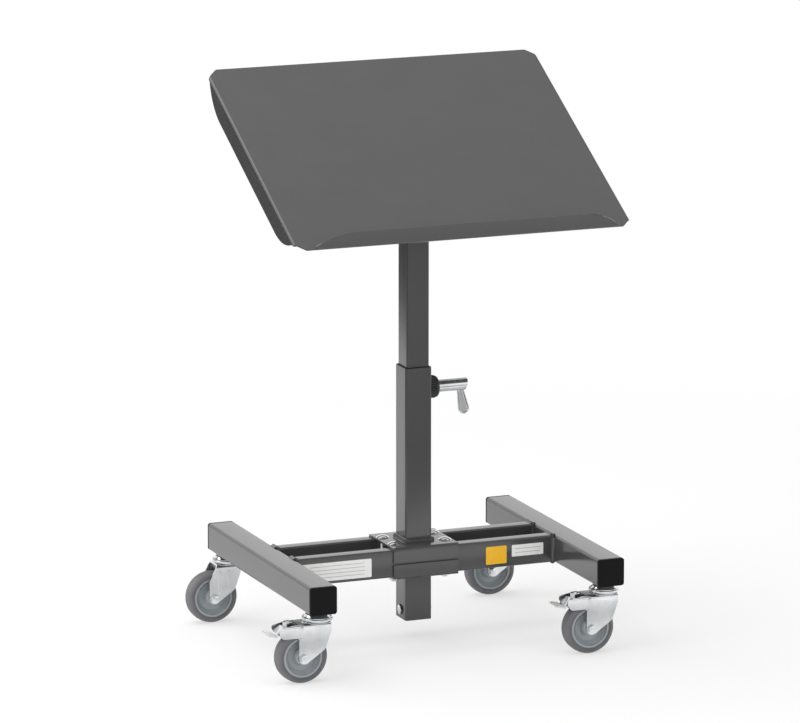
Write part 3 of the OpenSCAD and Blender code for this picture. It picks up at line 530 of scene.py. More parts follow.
def ripples(name: str, loops: Sequence[Sequence[Vector]], leg: float, finish: Finish) -> Mesh:
    """Lays the overlapping drops of a hand weld along closed paths.

    Args:
        name: The mesh's name.
        loops: Corners of each path, in metres.
        leg: Size of the bead, in millimetres.
        finish: Its finish.

    Returns:
        The mesh of all the drops.
    """
    points, edges = [], []
    for loop in loops:
        first = len(points)
        points.extend(loop)
        edges.extend((first + i, first + (i + 1) % len(loop)) for i in range(len(loop)))
    seed = bpy.data.meshes.new(name + "_path")
    seed.from_pydata(points, edges, [])
    rule = Recipe(name, {"Drop": leg / 2 * MM, "Step": DROP_STEP * leg * MM,
                         "Corner": DROP_CORNER * leg * MM, "Seed": DROP_SEED})
    path = rule.out("GeometryNodeMeshToCurve", {"Mesh": rule.size("Geometry")})
    eased = rule.out("GeometryNodeFilletCurve", {
        "Curve": path, "Radius": rule.size("Corner"), "Count": CORNER_STEPS,
    }, mode="POLY")
    stops = rule.out("GeometryNodeResampleCurve", {"Curve": eased, "Length": rule.size("Step")},
                     mode="LENGTH")
    drop = rule.out("GeometryNodeMeshIcoSphere", {"Radius": rule.size("Drop"), "Subdivisions": DROP_CUTS})
    along = rule.out("FunctionNodeAlignRotationToVector", {"Vector": rule.out("GeometryNodeInputTangent")},
                     axis="X")
    uneven = rule.add("FunctionNodeRandomValue", {
        2: DROP_SIZES[0], 3: DROP_SIZES[1], 8: rule.size("Seed"),
    }, data_type="FLOAT").outputs[1]
    flat = rule.out("ShaderNodeCombineXYZ", {"X": DROP_FLAT, "Y": uneven, "Z": uneven})
    laid = rule.out("GeometryNodeInstanceOnPoints", {
        "Points": stops, "Instance": drop, "Rotation": along, "Scale": flat,
    })
    return rule.bake(laid, finish, seed)


def repeated(name: str, item: Mesh, places: Sequence[Sequence[float]], finish: Finish,
             spin: float = math.tau) -> Mesh:
    """Repeats one mesh at several points, each turned by its own chance angle about Z.

    Args:
        name: The mesh's name.
        item: What is repeated.
        places: Points in the item's own frame, in metres.
        finish: The finish.
        spin: Widest chance angle, in radians. 0 keeps every copy straight.

    Returns:
        One mesh that holds every copy.
    """
    template = bpy.data.objects.new(name + "_item", item)
    bpy.context.scene.collection.objects.link(template)
    seed = bpy.data.meshes.new(name + "_places")
    seed.from_pydata([tuple(place) for place in places], [], [])
    rule = Recipe(name, {"Spin": spin, "Seed": len(places)})
    copy = rule.add("GeometryNodeObjectInfo", {"Object": template}).outputs["Geometry"]
    chance = rule.add("FunctionNodeRandomValue", {2: 0.0, 3: rule.size("Spin"), 8: rule.size("Seed")},
                      data_type="FLOAT").outputs[1]
    turn = rule.out("ShaderNodeCombineXYZ", {"Z": chance})
    laid = rule.out("GeometryNodeInstanceOnPoints", {
        "Points": rule.size("Geometry"), "Instance": copy, "Rotation": turn,
    })
    made = rule.bake(laid, finish, seed)
    bpy.data.objects.remove(template)
    return made


def hexagon(name: str, across: float, height: float, bore: float = 0.0) -> Mesh:
    """Forges a hexagon nut or head, with the 30 degree chamfer of its corners.

    Args:
        name: The mesh's name.
        across: Width across the flats, in millimetres.
        height: Height from the origin up, in millimetres.
        bore: Diameter of the hole, or 0 for a head.

    Returns:
        The mesh, whose axis is Z.
    """
    flat, inner = across / 2, bore / 2
    chamfer = HEX_FACE * flat
    rows = []
    for step in range(HEX_STEPS):
        turn = math.tau * step / HEX_STEPS
        corner = flat / math.cos((turn + HEX_HALF) % (2 * HEX_HALF) - HEX_HALF)
        drop = (corner - chamfer) * math.tan(HEX_CHAMFER)
        foot = [(inner, LEAD_IN), (inner + LEAD_IN, 0.0)] if bore else [(0.0, 0.0)]
        top = [(inner + LEAD_IN, height), (inner, height - LEAD_IN)] if bore else [(0.0, height)]
        section = foot + [(chamfer, 0.0), (corner, drop), (corner, height - drop), (chamfer, height)] + top
        rows.append([(r * math.cos(turn) * MM, r * math.sin(turn) * MM, z * MM) for r, z in section])
    size = len(rows[0])
    faces = []
    for step in range(HEX_STEPS):
        this, after = step * size, (step + 1) % HEX_STEPS * size
        faces += [(this + i, after + i, after + i + 1, this + i + 1) for i in range(size - 1)]
        if bore:
            faces.append((this + size - 1, after + size - 1, after, this))
    mesh = bpy.data.meshes.new(name)
    mesh.from_pydata([point for row in rows for point in row], [], faces)
    return polished(mesh, recalculate=True)


def plate(name: str, width: float, height: float, thick: float, corner: float) -> Mesh:
    """Cuts a thin plate with round corners, flat on its own XY plane.

    Args:
        name: The mesh's name.
        width: Size along X, in millimetres.
        height: Size along Y, in millimetres.
        thick: Thickness, from the origin up, in millimetres.
        corner: Radius of the corners, in millimetres.

    Returns:
        The plate's mesh.
    """
    outline = []
    for quarter, (x, y) in enumerate(((1, 1), (-1, 1), (-1, -1), (1, -1))):
        centre = (x * (width / 2 - corner), y * (height / 2 - corner))
        outline += arc(centre, corner, quarter * math.pi / 2, (quarter + 1) * math.pi / 2, CORNER_STEPS)
    count = len(outline)
    mesh = bpy.data.meshes.new(name)
    faces = [tuple(reversed(range(count))), tuple(range(count, 2 * count))]
    faces += [(i, (i + 1) % count, count + (i + 1) % count, count + i) for i in range(count)]
    mesh.from_pydata([(x * MM, y * MM, z * MM) for z in (0, thick) for x, y in outline], [], faces)
    return polished(mesh)


def joined(name: str, *parts: tuple[Mesh, Matrix]) -> Mesh:
    """Puts several meshes into one.

    Args:
        name: The whole mesh's name.
        *parts: Each mesh, and the matrix that moves it.

    Returns:
        The whole mesh.
    """
    shape = bmesh.new()
    for mesh, matrix in parts:
        moved = mesh.copy()
        moved.transform(matrix)
        shape.from_mesh(moved)
        bpy.data.meshes.remove(moved)
    whole = bpy.data.meshes.new(name)
    shape.to_mesh(whole)
    shape.free()
    whole.shade_smooth()
    whole.set_sharp_from_angle(angle=SHARP_ANGLE)
    return whole


def fit(name: str, mesh: Mesh, node: str, finish: Finish, stands_in: bool = False) -> bpy.types.Object:
    """Puts a finished mesh on the cart, on the body that a CAD node moves with.

    Args:
        name: The piece's name.
        mesh: Its mesh, in the row frame.
        node: The CAD node it belongs to.
        finish: Its finish.
        stands_in: True if it takes the node's place.

    Returns:
        The piece.
    """
    mesh.materials.clear()
    mesh.materials.append(finish.material())
    piece = bpy.data.objects.new(name, mesh)
    bpy.context.scene.collection.objects.link(piece)
    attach(piece, frame["nodes"][node]["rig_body"])
    if stands_in:
        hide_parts(node)
    log.info("%s %s %s, in %s", name, "stands in for" if stands_in else "goes with", node, finish.name)
    return piece


def dress(node: str, finish: Finish) -> bpy.types.Object:
    """Gives a CAD node its finish and leaves its shape alone.

    Args:
        node: The CAD node's name.
        finish: The finish it gets.

    Returns:
        The CAD node's object.
    """
    piece = frame["nodes"][node]
    piece.data.materials.clear()
    piece.data.materials.append(finish.material())
    log.info("%s keeps its CAD shape, in %s", node, finish.name)
    return piece


def soften(node: str, finish: Finish, edge: Edge) -> bpy.types.Object:
    """Stands a copy of a CAD node in for it, with every sharp edge rounded as its making leaves it.

    Args:
        node: The CAD node's name.
        finish: The finish it gets.
        edge: How the piece is made, which sets the width of the rounding.

    Returns:
        The piece that replaces the node.
    """
    shape = bmesh.new()
    shape.from_mesh(frame["nodes"][node].data)
    bmesh.ops.remove_doubles(shape, verts=shape.verts, dist=MERGE_GAP)
    bmesh.ops.dissolve_limit(shape, angle_limit=FLAT_ANGLE, verts=shape.verts, edges=shape.edges)
    mesh = bpy.data.meshes.new(node + "_copy")
    shape.to_mesh(mesh)
    shape.free()
    mesh.shade_smooth()
    mesh.set_sharp_from_angle(angle=SHARP_ANGLE)
    holder = bpy.data.objects.new(node + "_copy", mesh)
    bpy.context.scene.collection.objects.link(holder)
    rounding = holder.modifiers.new("rounding", "BEVEL")
    rounding.width = edge.value * MM
    rounding.segments = ROUNDING_STEPS
    rounding.limit_method = "ANGLE"
    rounding.angle_limit = SHARP_ANGLE
    rounding.harden_normals = True
    rounded = bpy.data.meshes.new_from_object(holder.evaluated_get(bpy.context.evaluated_depsgraph_get()))
    bpy.data.objects.remove(holder)
    return fit(node + "_edged", rounded, node, finish, stands_in=True)


def middle(node: str) -> Vector:
    """Returns the middle of a CAD node's box, in metres."""
    low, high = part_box(node)
    return (Vector(low) + Vector(high)) / 2


@dataclass
class Tray:
    """The folded tray and the two brackets under it."""

    folded: Edge = Edge.PRESSED
    cut: Edge = Edge.SHEARED

    def build(self) -> None:
        """Dresses the tray, its brackets and the pivot bolt."""
        soften("tray", PAINT, self.folded)
        for side in ("left", "right"):
            soften(side + "_bracket", PAINT, self.cut)
        soften("pivot_bolt", ZINC, self.cut)


@dataclass
class Column:
    """The two square tubes with their guide, stop bolt and tilt clamp."""

    tube: float = 40.0
    weld_leg: float = 5.0
    stop_across: float = 13.0
    stop_head: float = 5.3
    stop_nut: float = 4.5
    stop_rod: float = 8.0
    stop_sink: float = 2.6
    stop_chamfer: float = 0.6
    tail: float = 1.5
    weld_rise: float = 0.35

    def weld(self) -> None:
        """Lays the ripples of the weld round the column's foot."""
        low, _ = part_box("column_weld")
        rise = self.weld_rise * self.weld_leg * MM
        reach = self.tube / 2 * MM + rise
        up = low[2] + rise
        loop = [Vector((x * reach, y * reach, up)) for x, y in ((-1, -1), (1, -1), (1, 1), (-1, 1))]
        made = ripples("column_weld_ripples", [loop], self.weld_leg, PAINT)
        fit("column_weld_ripples", made, "column_weld", PAINT)

    def stop(self) -> None:
        """Makes the cross bolt at the outer tube's foot, with chamfered head and nut and a threaded tail."""
        up = middle("stop_bolt").z
        face = self.tube / 2 * MM
        head = hexagon("stop_head", self.stop_across, self.stop_head)
        nut = hexagon("stop_nut_body", self.stop_across, self.stop_nut, self.stop_rod + NUT_SLACK)
        length = self.tube - self.stop_sink + self.stop_nut + self.tail
        radius = self.stop_rod / 2
        rod = turned("stop_rod", [
            (0, 0), (radius, 0), (radius, length - self.stop_chamfer), (radius - self.stop_chamfer, length),
            (0, length), (0, 0),
        ], ZINC, TURN_STEPS)
        wound = thread("stop_thread", self.stop_rod - THREAD_SLACK, M8_PITCH, self.tail, ZINC)
        start = self.stop_sink * MM - face
        bolt = joined("stop_bolt_made", (head, Axis.LEFT.at((start, 0, up))),
                      (rod, Axis.RIGHT.at((start, 0, up))),
                      (wound, Axis.RIGHT.at((face + self.stop_nut * MM, 0, up))))
        fit("stop_bolt_made", bolt, "stop_bolt", ZINC, stands_in=True)
        nut.transform(Axis.RIGHT.at((face, 0, up)))
        fit("stop_nut_made", nut, "stop_nut", ZINC, stands_in=True)

    def build(self) -> None:
        """Dresses the tubes and what they carry."""
        for node in ("outer_tube", "mast_tube"):
            soften(node, PAINT, Edge.SAWN)
        dress("column_weld", PAINT)
        self.weld()
        self.stop()
        for node in ("guide_bush", "tilt_lever"):
            soften(node, BLACK, Edge.SAWN)
        for node in ("mast_foot", "pivot_bushes", "stop_sleeve"):
            dress(node, BLACK)
        for node in ("tilt_bolt", "tilt_spacer"):
            soften(node, ZINC, Edge.SAWN)


@dataclass
class Carriage:
    """The two folded clamp plates round the rails, and their bolts."""

    across: float = 13.0
    nut_height: float = 6.5
    rod: float = 8.0
    tail: float = 1.5
    bolt_x: float = 39.0
    bolt_y: float = 22.0

    def nuts(self) -> None:
        """Repeats the nuts under the carriage, and the threaded ends of their bolts."""
        low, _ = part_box("clamp_nuts")
        corners = [(x * self.bolt_x * MM, y * self.bolt_y * MM) for x in (-1, 1) for y in (-1, 1)]
        nut = hexagon("clamp_nut", self.across, self.nut_height, self.rod + NUT_SLACK)
        made = repeated("clamp_nuts_made", nut, [(x, y, low[2]) for x, y in corners], ZINC)
        fit("clamp_nuts_made", made, "clamp_nuts", ZINC, stands_in=True)
        tail = thread("clamp_tail", self.rod, M8_PITCH, self.tail, ZINC)
        made = repeated("clamp_tails", tail, [(x, y, low[2] - self.tail * MM) for x, y in corners], ZINC)
        fit("clamp_tails", made, "clamp_bolts", ZINC)

    def build(self) -> None:
        """Dresses the clamp plates, bolts and nuts."""
        for node in ("clamp_top_plate", "clamp_bottom_plate"):
            soften(node, PAINT, Edge.PRESSED)
        soften("clamp_bolts", ZINC, Edge.PRESSED)
        self.nuts()


@dataclass
class HeightClamp:
    """The round boss, barrel and lever that hold the mast at its height."""

    screw_circle: float = 11.05
    screw_head: float = 5.2
    screw_height: float = 0.9
    screw_sink: float = 0.5
    # Section of a screw's head, as shares of its radius and height: its crown, and the recess in its top
    screw_crown: tuple[tuple[float, float], ...] = ((1.0, 0.2), (0.85, 0.7), (0.5, 1.0))
    screw_recess: tuple[tuple[float, float], ...] = ((0.36, 1.0), (0.3, 0.2), (0.0, 0.1))
    screw_angles: tuple[float, ...] = (90.0, 210.0, 330.0)
    grip_ribs: int = 36
    grip_width: float = 1.2
    grip_length: float = 0.62
    grip_middle: float = 0.4
    grub: float = 6.0
    grub_x: float = 28.0
    grub_tail: float = 1.5
    grub_rim: float = 0.3
    grub_top: float = 0.7
    grub_chamfer: float = 0.5
    socket: float = 1.4
    socket_chamfer: float = 0.2
    socket_lead: float = 0.3
    socket_depth: float = 0.6
    lever_top: tuple[float, float, float] = (72.2, 352.0, 5.1)
    lever_foot: tuple[float, float, float] = (76.4, 327.4, 8.3)
    lever_thick: float = 5.0
    lever_border: float = 2.0
    lever_dish: float = 1.3
    lever_soft: float = 0.4
    lever_drop: float = 0.1
    # The lever's rings: inset from the border and rise over the dish's floor, then inset and fall at the edge
    lever_slope: tuple[tuple[float, float], ...] = ((2.2, 0.0), (1.4, 0.1), (0.6, 0.5))
    lever_edge: tuple[tuple[float, float], ...] = ((1.0, 0.0), (0.3, 0.3), (0.0, 1.0))
    # The darker sheet of painted shade in each dish: its inset from the border and its rise over the dish's
    # floor
    shade_sheet_inset: float = 0.9
    shade_sheet_rise: float = 0.25

    def screws(self) -> None:
        """Repeats the boss's three pan-head screws."""
        _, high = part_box("clamp_boss")
        radius, up = self.screw_head / 2, self.screw_height
        face = [(reach * radius, rise * up) for reach, rise in self.screw_crown + self.screw_recess]
        head = turned("boss_screw", [
            (0, -self.screw_sink), (radius, -self.screw_sink), *face, (0, -self.screw_sink),
        ], ZINC, TURN_STEPS)
        turns = [math.radians(angle) for angle in self.screw_angles]
        reach = self.screw_circle * MM
        places = [(reach * math.cos(turn), reach * math.sin(turn), 0) for turn in turns]
        made = repeated("boss_screws", head, places, ZINC)
        out = Axis.RIGHT.at((high[0], 0, middle("clamp_boss").z))
        made.transform(out @ Matrix.Rotation(math.pi / 2, 4, "Z"))
        fit("boss_screws", made, "clamp_boss", ZINC)

    def grub_screw(self) -> None:
        """Sets a socket screw in the boss's side, which keeps the boss on the tube."""
        low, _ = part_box("clamp_boss")
        radius, bevel = self.grub / 2, self.socket_chamfer
        screw = turned("grub_screw", [
            (0, -self.grub_tail), (radius, -self.grub_tail), (radius, self.grub_rim),
            (radius - self.grub_chamfer, self.grub_top), (self.socket + bevel, self.grub_top),
            (self.socket, self.grub_top - self.socket_lead), (self.socket, -self.socket_depth),
            (0, -self.socket_depth - bevel), (0, -self.grub_tail),
        ], NYLON, TURN_STEPS)
        screw.transform(Axis.FRONT.at((self.grub_x * MM, low[1], middle("clamp_boss").z)))
        fit("grub_screw", screw, "clamp_boss", NYLON)

    def grip(self) -> None:
        """Repeats the low ribs round the boss, by which a hand turns it on its thread."""
        low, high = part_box("clamp_boss")
        radius = (high[1] - low[1]) / 2
        rule = Recipe("boss_grip", {"Radius": radius, "Ribs": self.grip_ribs, "Width": self.grip_width * MM,
                                    "Length": self.grip_length * (high[0] - low[0])})
        ring = rule.out("GeometryNodeMeshCircle", {
            "Vertices": rule.size("Ribs"), "Radius": rule.size("Radius"),
        })
        size = rule.out("ShaderNodeCombineXYZ", {"X": rule.size("Width"), "Y": rule.size("Width"),
                                                 "Z": rule.size("Length")})
        rib = rule.out("GeometryNodeMeshCube", {"Size": size})
        face = rule.out("FunctionNodeAlignRotationToVector", {
            "Vector": rule.out("GeometryNodeInputPosition"),
        }, axis="X")
        tipped = rule.out("FunctionNodeRotateRotation", {
            "Rotation": face, "Rotate By": (0.0, 0.0, math.pi / 4),
        }, rotation_space="LOCAL")
        laid = rule.out("GeometryNodeInstanceOnPoints", {"Points": ring, "Instance": rib, "Rotation": tipped})
        made = rule.bake(laid, NYLON)
        along = low[0] + self.grip_middle * (high[0] - low[0])
        made.transform(Axis.RIGHT.at((along, 0, middle("clamp_boss").z)))
        fit("boss_grip", made, "clamp_boss", NYLON)

    def outline(self, inset: float) -> list[tuple[float, float]]:
        """Draws the lever's drop shape, two circles and the tangents between them.

        Args:
            inset: How far inside the lever's edge the line runs, in millimetres.

        Returns:
            Points of X and Z, in metres, anticlockwise.
        """
        top, foot = Vector(self.lever_top[:2]), Vector(self.lever_foot[:2])
        axis = math.atan2(top.y - foot.y, top.x - foot.x)
        lean = math.acos((self.lever_foot[2] - self.lever_top[2]) / (top - foot).length)
        points = []
        for centre, radius, start, end in ((foot, self.lever_foot[2], axis + lean, axis + math.tau - lean),
                                           (top, self.lever_top[2], axis - lean, axis + lean)):
            points += arc(centre, radius - inset, start, end, TURN_STEPS)
        return [(x * MM, z * MM) for x, z in points]

    def lever(self) -> None:
        """Forges the drop-shaped lever, with a round border and a dish in each face, and a darker sheet of
        painted shade in each dish.
        """
        half, border = self.lever_thick / 2, self.lever_border
        floor = half - self.lever_dish
        rings = [(border + inset, floor + rise) for inset, rise in self.lever_slope]
        rings += [(border, half - self.lever_drop), (border - self.lever_soft, half)]
        rings += [(inset, half - fall) for inset, fall in self.lever_edge]
        rings += [(inset, -depth) for inset, depth in reversed(rings)]
        fit("clamp_lever_made", self.stacked("clamp_lever_made", rings), "clamp_lever", ZINC, stands_in=True)
        # A darker satin sheet in each dish is painted shade, so the dishes look sunk
        inset, depth = border + self.shade_sheet_inset, floor + self.shade_sheet_rise
        shade_sheet = self.stacked("lever_dishes", [(inset, depth), (inset, -depth)])
        fit("lever_dishes", shade_sheet, "clamp_lever", DISH_SHADE_ZINC)

    def stacked(self, name: str, rings: Sequence[tuple[float, float]]) -> Mesh:
        """Stacks drop outlines from the back of the lever to its front, and closes both ends.

        Args:
            name: The mesh's name.
            rings: Inset and depth along Y of each outline, in millimetres.

        Returns:
            The closed mesh.
        """
        lines = [[(x, depth * MM, z) for x, z in self.outline(inset)] for inset, depth in rings]
        count = len(lines[0])
        faces = [(row * count + i, row * count + (i + 1) % count, (row + 1) * count + (i + 1) % count,
                  (row + 1) * count + i) for row in range(len(lines) - 1) for i in range(count)]
        faces += [tuple(range(count)), tuple(range((len(lines) - 1) * count, len(lines) * count))]
        mesh = bpy.data.meshes.new(name)
        mesh.from_pydata([point for line in lines for point in line], [], faces)
        return polished(mesh, recalculate=True)

    def build(self) -> None:
        """Dresses the clamp."""
        dress("clamp_boss", NYLON)
        dress("clamp_pad", BLACK)
        dress("clamp_spindle", ZINC)
        soften("clamp_barrel", ZINC, Edge.PRESSED)
        self.lever()
        self.screws()
        self.grub_screw()
        self.grip()


@dataclass(frozen=True)
class Label:
    """One blank plate on the front rail, with plain rules where it has any."""

    name: str
    left: float
    right: float
    top: float
    height: float
    finish: Finish
    rules: int = 0


@dataclass(frozen=True)
class Stem:
    """A caster's stem and the pressed cup of its upper ball race, as radii and as heights above the floor."""

    foot: float = 82.3
    head: float = 9.0
    head_top: float = 84.8
    head_chamfer: float = 0.5
    shank: float = 6.0
    top: float = 112.0
    top_chamfer: float = 0.6
    # The pressed cup's section: its rolled edge, and its shoulder up to the neck
    rim: tuple[tuple[float, float], ...] = ((20.4, 92.2), (21.0, 92.5), (21.0, 93.2), (20.3, 93.5))
    shoulder: tuple[tuple[float, float], ...] = (
        (19.4, 93.5), (18.7, 94.0), (17.6, 95.6), (16.0, 97.2), (14.0, 98.6), (13.0, 100.0),
    )

    def profile(self) -> list[tuple[float, float]]:
        """Draws half of the stem's section.

        Returns:
            Radius and height of each point, in millimetres, from the foot round to the foot.
        """
        return [
            (0, self.foot), (self.head - self.head_chamfer, self.foot),
            (self.head, self.foot + self.head_chamfer), (self.head, self.head_top),
            (self.shank, self.head_top), (self.shank, self.rim[0][1]), *self.rim, *self.shoulder,
            (self.shank, self.shoulder[-1][1]), (self.shank, self.top - self.top_chamfer),
            (self.shank - self.top_chamfer, self.top), (0, self.top), (0, self.foot),
        ]


@dataclass
class Base:
    """The beams, rails, caps and welds that stand on the casters."""

    bead: float = 4.0
    bead_out: float = 0.2
    bead_leg: float = 0.8
    race: float = 21.0
    labels: tuple[Label, ...] = (
        Label("left_plate", -188.0, -83.0, 8.5, 27.0, WHITE_FILM, 4),
        Label("yellow_plate", 93.0, 125.0, 8.5, 26.0, YELLOW_FILM),
        Label("right_plate", 133.0, 182.0, 9.0, 17.0, WHITE_FILM, 2),
    )
    film: float = 0.12
    film_corner: float = 1.5
    ink: float = 0.03
    ink_reach: float = 0.8
    ink_width: float = 0.5
    ink_corner: float = 0.2

    def welds(self) -> None:
        """Lays the ripples of the welds round the rails' four ends."""
        loops = []
        for rail in ("front_rail", "rear_rail"):
            low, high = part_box(rail)
            out = self.bead_out * self.bead * MM
            for end in (low[0] + out, high[0] - out):
                corners = ((low[1] - out, low[2] - out), (high[1] + out, low[2] - out),
                           (high[1] + out, high[2] + out), (low[1] - out, high[2] + out))
                loops.append([Vector((end, y, z)) for y, z in corners])
        made = ripples("rail_weld_ripples", loops, self.bead_leg * self.bead, PAINT)
        fit("rail_weld_ripples", made, "rail_welds", PAINT)

    def stems(self) -> None:
        """Turns the casters' stems, each with the cup of the upper ball race under the beam."""
        low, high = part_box("swivel_stems")
        stem = turned("swivel_stem", Stem().profile(), ZINC, 2 * TURN_STEPS)
        places = [(x, y, 0) for x in (low[0] + self.race * MM, high[0] - self.race * MM)
                  for y in (low[1] + self.race * MM, high[1] - self.race * MM)]
        fit("swivel_stems_made", repeated("swivel_stems_made", stem, places, ZINC), "swivel_stems", ZINC,
            stands_in=True)

    def stick(self, label: Label) -> None:
        """Sticks one blank plate on the front rail, and its rules on the plate.

        Args:
            label: The plate.
        """
        low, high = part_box("front_rail")
        up = high[2] - (label.top + label.height / 2) * MM
        across = (label.left + label.right) / 2 * MM
        width = label.right - label.left
        film = plate(label.name, width, label.height, self.film, self.film_corner)
        film.transform(Axis.FRONT.at((across, low[1], up)))
        fit(label.name, film, "front_rail", label.finish)
        if label.rules:
            reach = self.ink_reach * width
            rule = plate(label.name + "_rule", reach, self.ink_width, self.ink, self.ink_corner)
            pitch = label.height / (label.rules + 1)
            places = [(0, (step - (label.rules - 1) / 2) * pitch * MM, 0) for step in range(label.rules)]
            rules = repeated(label.name + "_rules", rule, places, INK, spin=0.0)
            rules.transform(Axis.FRONT.at((across, low[1] - self.film * MM, up)))
            fit(label.name + "_rules", rules, "front_rail", INK)

    def build(self) -> None:
        """Dresses the base frame."""
        for node in ("left_beam", "right_beam", "front_rail", "rear_rail"):
            soften(node, PAINT, Edge.SAWN)
        dress("rail_welds", PAINT)
        self.welds()
        soften("end_caps", BLACK, Edge.MOULDED)
        self.stems()
        dress("stem_nuts", ZINC)
        for label in self.labels:
            self.stick(label)


@dataclass
class Caster:
    """One swivel caster with its fork, wheel and, at the front, its foot brake."""

    corner: str
    radius: float = 37.5
    inner: float = 29.0
    width: float = 23.0
    shoulder: float = 6.0
    shoulder_steps: int = 6
    groove: float = 0.35
    groove_in: float = 1.2
    groove_wall: float = 0.3
    groove_floor: float = 0.6
    mould_line: float = 0.3
    mould_foot: float = 0.5
    mould_top: float = 0.15
    fork_width: float = 34.0
    axle: float = 8.0
    axle_chamfer: float = 0.5
    sleeve: float = 10.0
    cheek: float = 2.5
    across: float = 12.0
    head: float = 5.0
    nut: float = 6.0
    tail: float = 1.5

    def tyre(self) -> None:
        """Turns the tyre, with its round shoulders, the mould's parting line and a groove in each side."""
        half, crown = self.width / 2, self.radius - self.mould_line
        near = self.inner + self.groove_in
        far = near + 2 * self.groove_wall + self.groove_floor
        side = [(self.inner, half), (near, half), (near + self.groove_wall, half - self.groove),
                (far - self.groove_wall, half - self.groove), (far, half)]
        side += arc((crown - self.shoulder, half - self.shoulder), self.shoulder, math.pi / 2, 0.0,
                    self.shoulder_steps)
        side += [(crown, self.mould_foot), (self.radius, self.mould_top)]
        profile = side + [(radius, -height) for radius, height in reversed(side)] + side[:1]
        mesh = turned("tyre_" + self.corner, profile, RUBBER)
        mesh.transform(Axis.BACK.at(middle("tyre_" + self.corner)))
        fit("tyre_made_" + self.corner, mesh, "tyre_" + self.corner, RUBBER, stands_in=True)

    def axle_bolt(self) -> None:
        """Makes the axle bolt, with a chamfered head and nut, a sleeve and a threaded tail."""
        name = "axle_" + self.corner
        centre = middle("tyre_" + self.corner)
        half = self.fork_width / 2
        front = Vector((centre.x, centre.y - half * MM, centre.z))
        back = Vector((centre.x, centre.y + half * MM, centre.z))
        rod_r, sleeve_r, length = self.axle / 2, self.sleeve / 2, self.fork_width + self.nut + self.tail
        rod = turned(name + "_rod", [
            (0, 0), (rod_r, 0), (rod_r, self.cheek), (sleeve_r, self.cheek),
            (sleeve_r, self.fork_width - self.cheek), (rod_r, self.fork_width - self.cheek),
            (rod_r, length - self.axle_chamfer), (rod_r - self.axle_chamfer, length), (0, length), (0, 0),
        ], ZINC, TURN_STEPS)
        parts = (
            (hexagon(name + "_head", self.across, self.head), Axis.FRONT.at(front)),
            (rod, Axis.BACK.at(front)),
            (hexagon(name + "_nut", self.across, self.nut, self.axle), Axis.BACK.at(back)),
            (thread(name + "_thread", self.axle - THREAD_SLACK, M8_PITCH, self.tail, ZINC),
             Axis.BACK.at(back + Vector((0, self.nut * MM, 0)))),
        )
        fit(name + "_made", joined(name + "_made", *parts), name, ZINC, stands_in=True)

    def build(self) -> None:
        """Dresses the caster's pieces."""
        soften("fork_" + self.corner, ZINC, Edge.PRESSED)
        soften("swivel_ring_" + self.corner, ZINC, Edge.SHEARED)
        soften("rim_" + self.corner, RIM_GREY, Edge.PRESSED)
        self.axle_bolt()
        self.tyre()
        if self.corner in BRAKED:
            for piece in ("pedal_", "brake_block_", "brake_rivet_"):
                soften(piece + self.corner, ZINC, Edge.SAWN)


@dataclass(frozen=True)
class Lamp:
    """One square soft lamp: where it hangs and how wide it is, in metres, and its power in watts."""

    name: str
    place: tuple[float, float, float]
    size: float
    power: float
    mirrored: bool = False


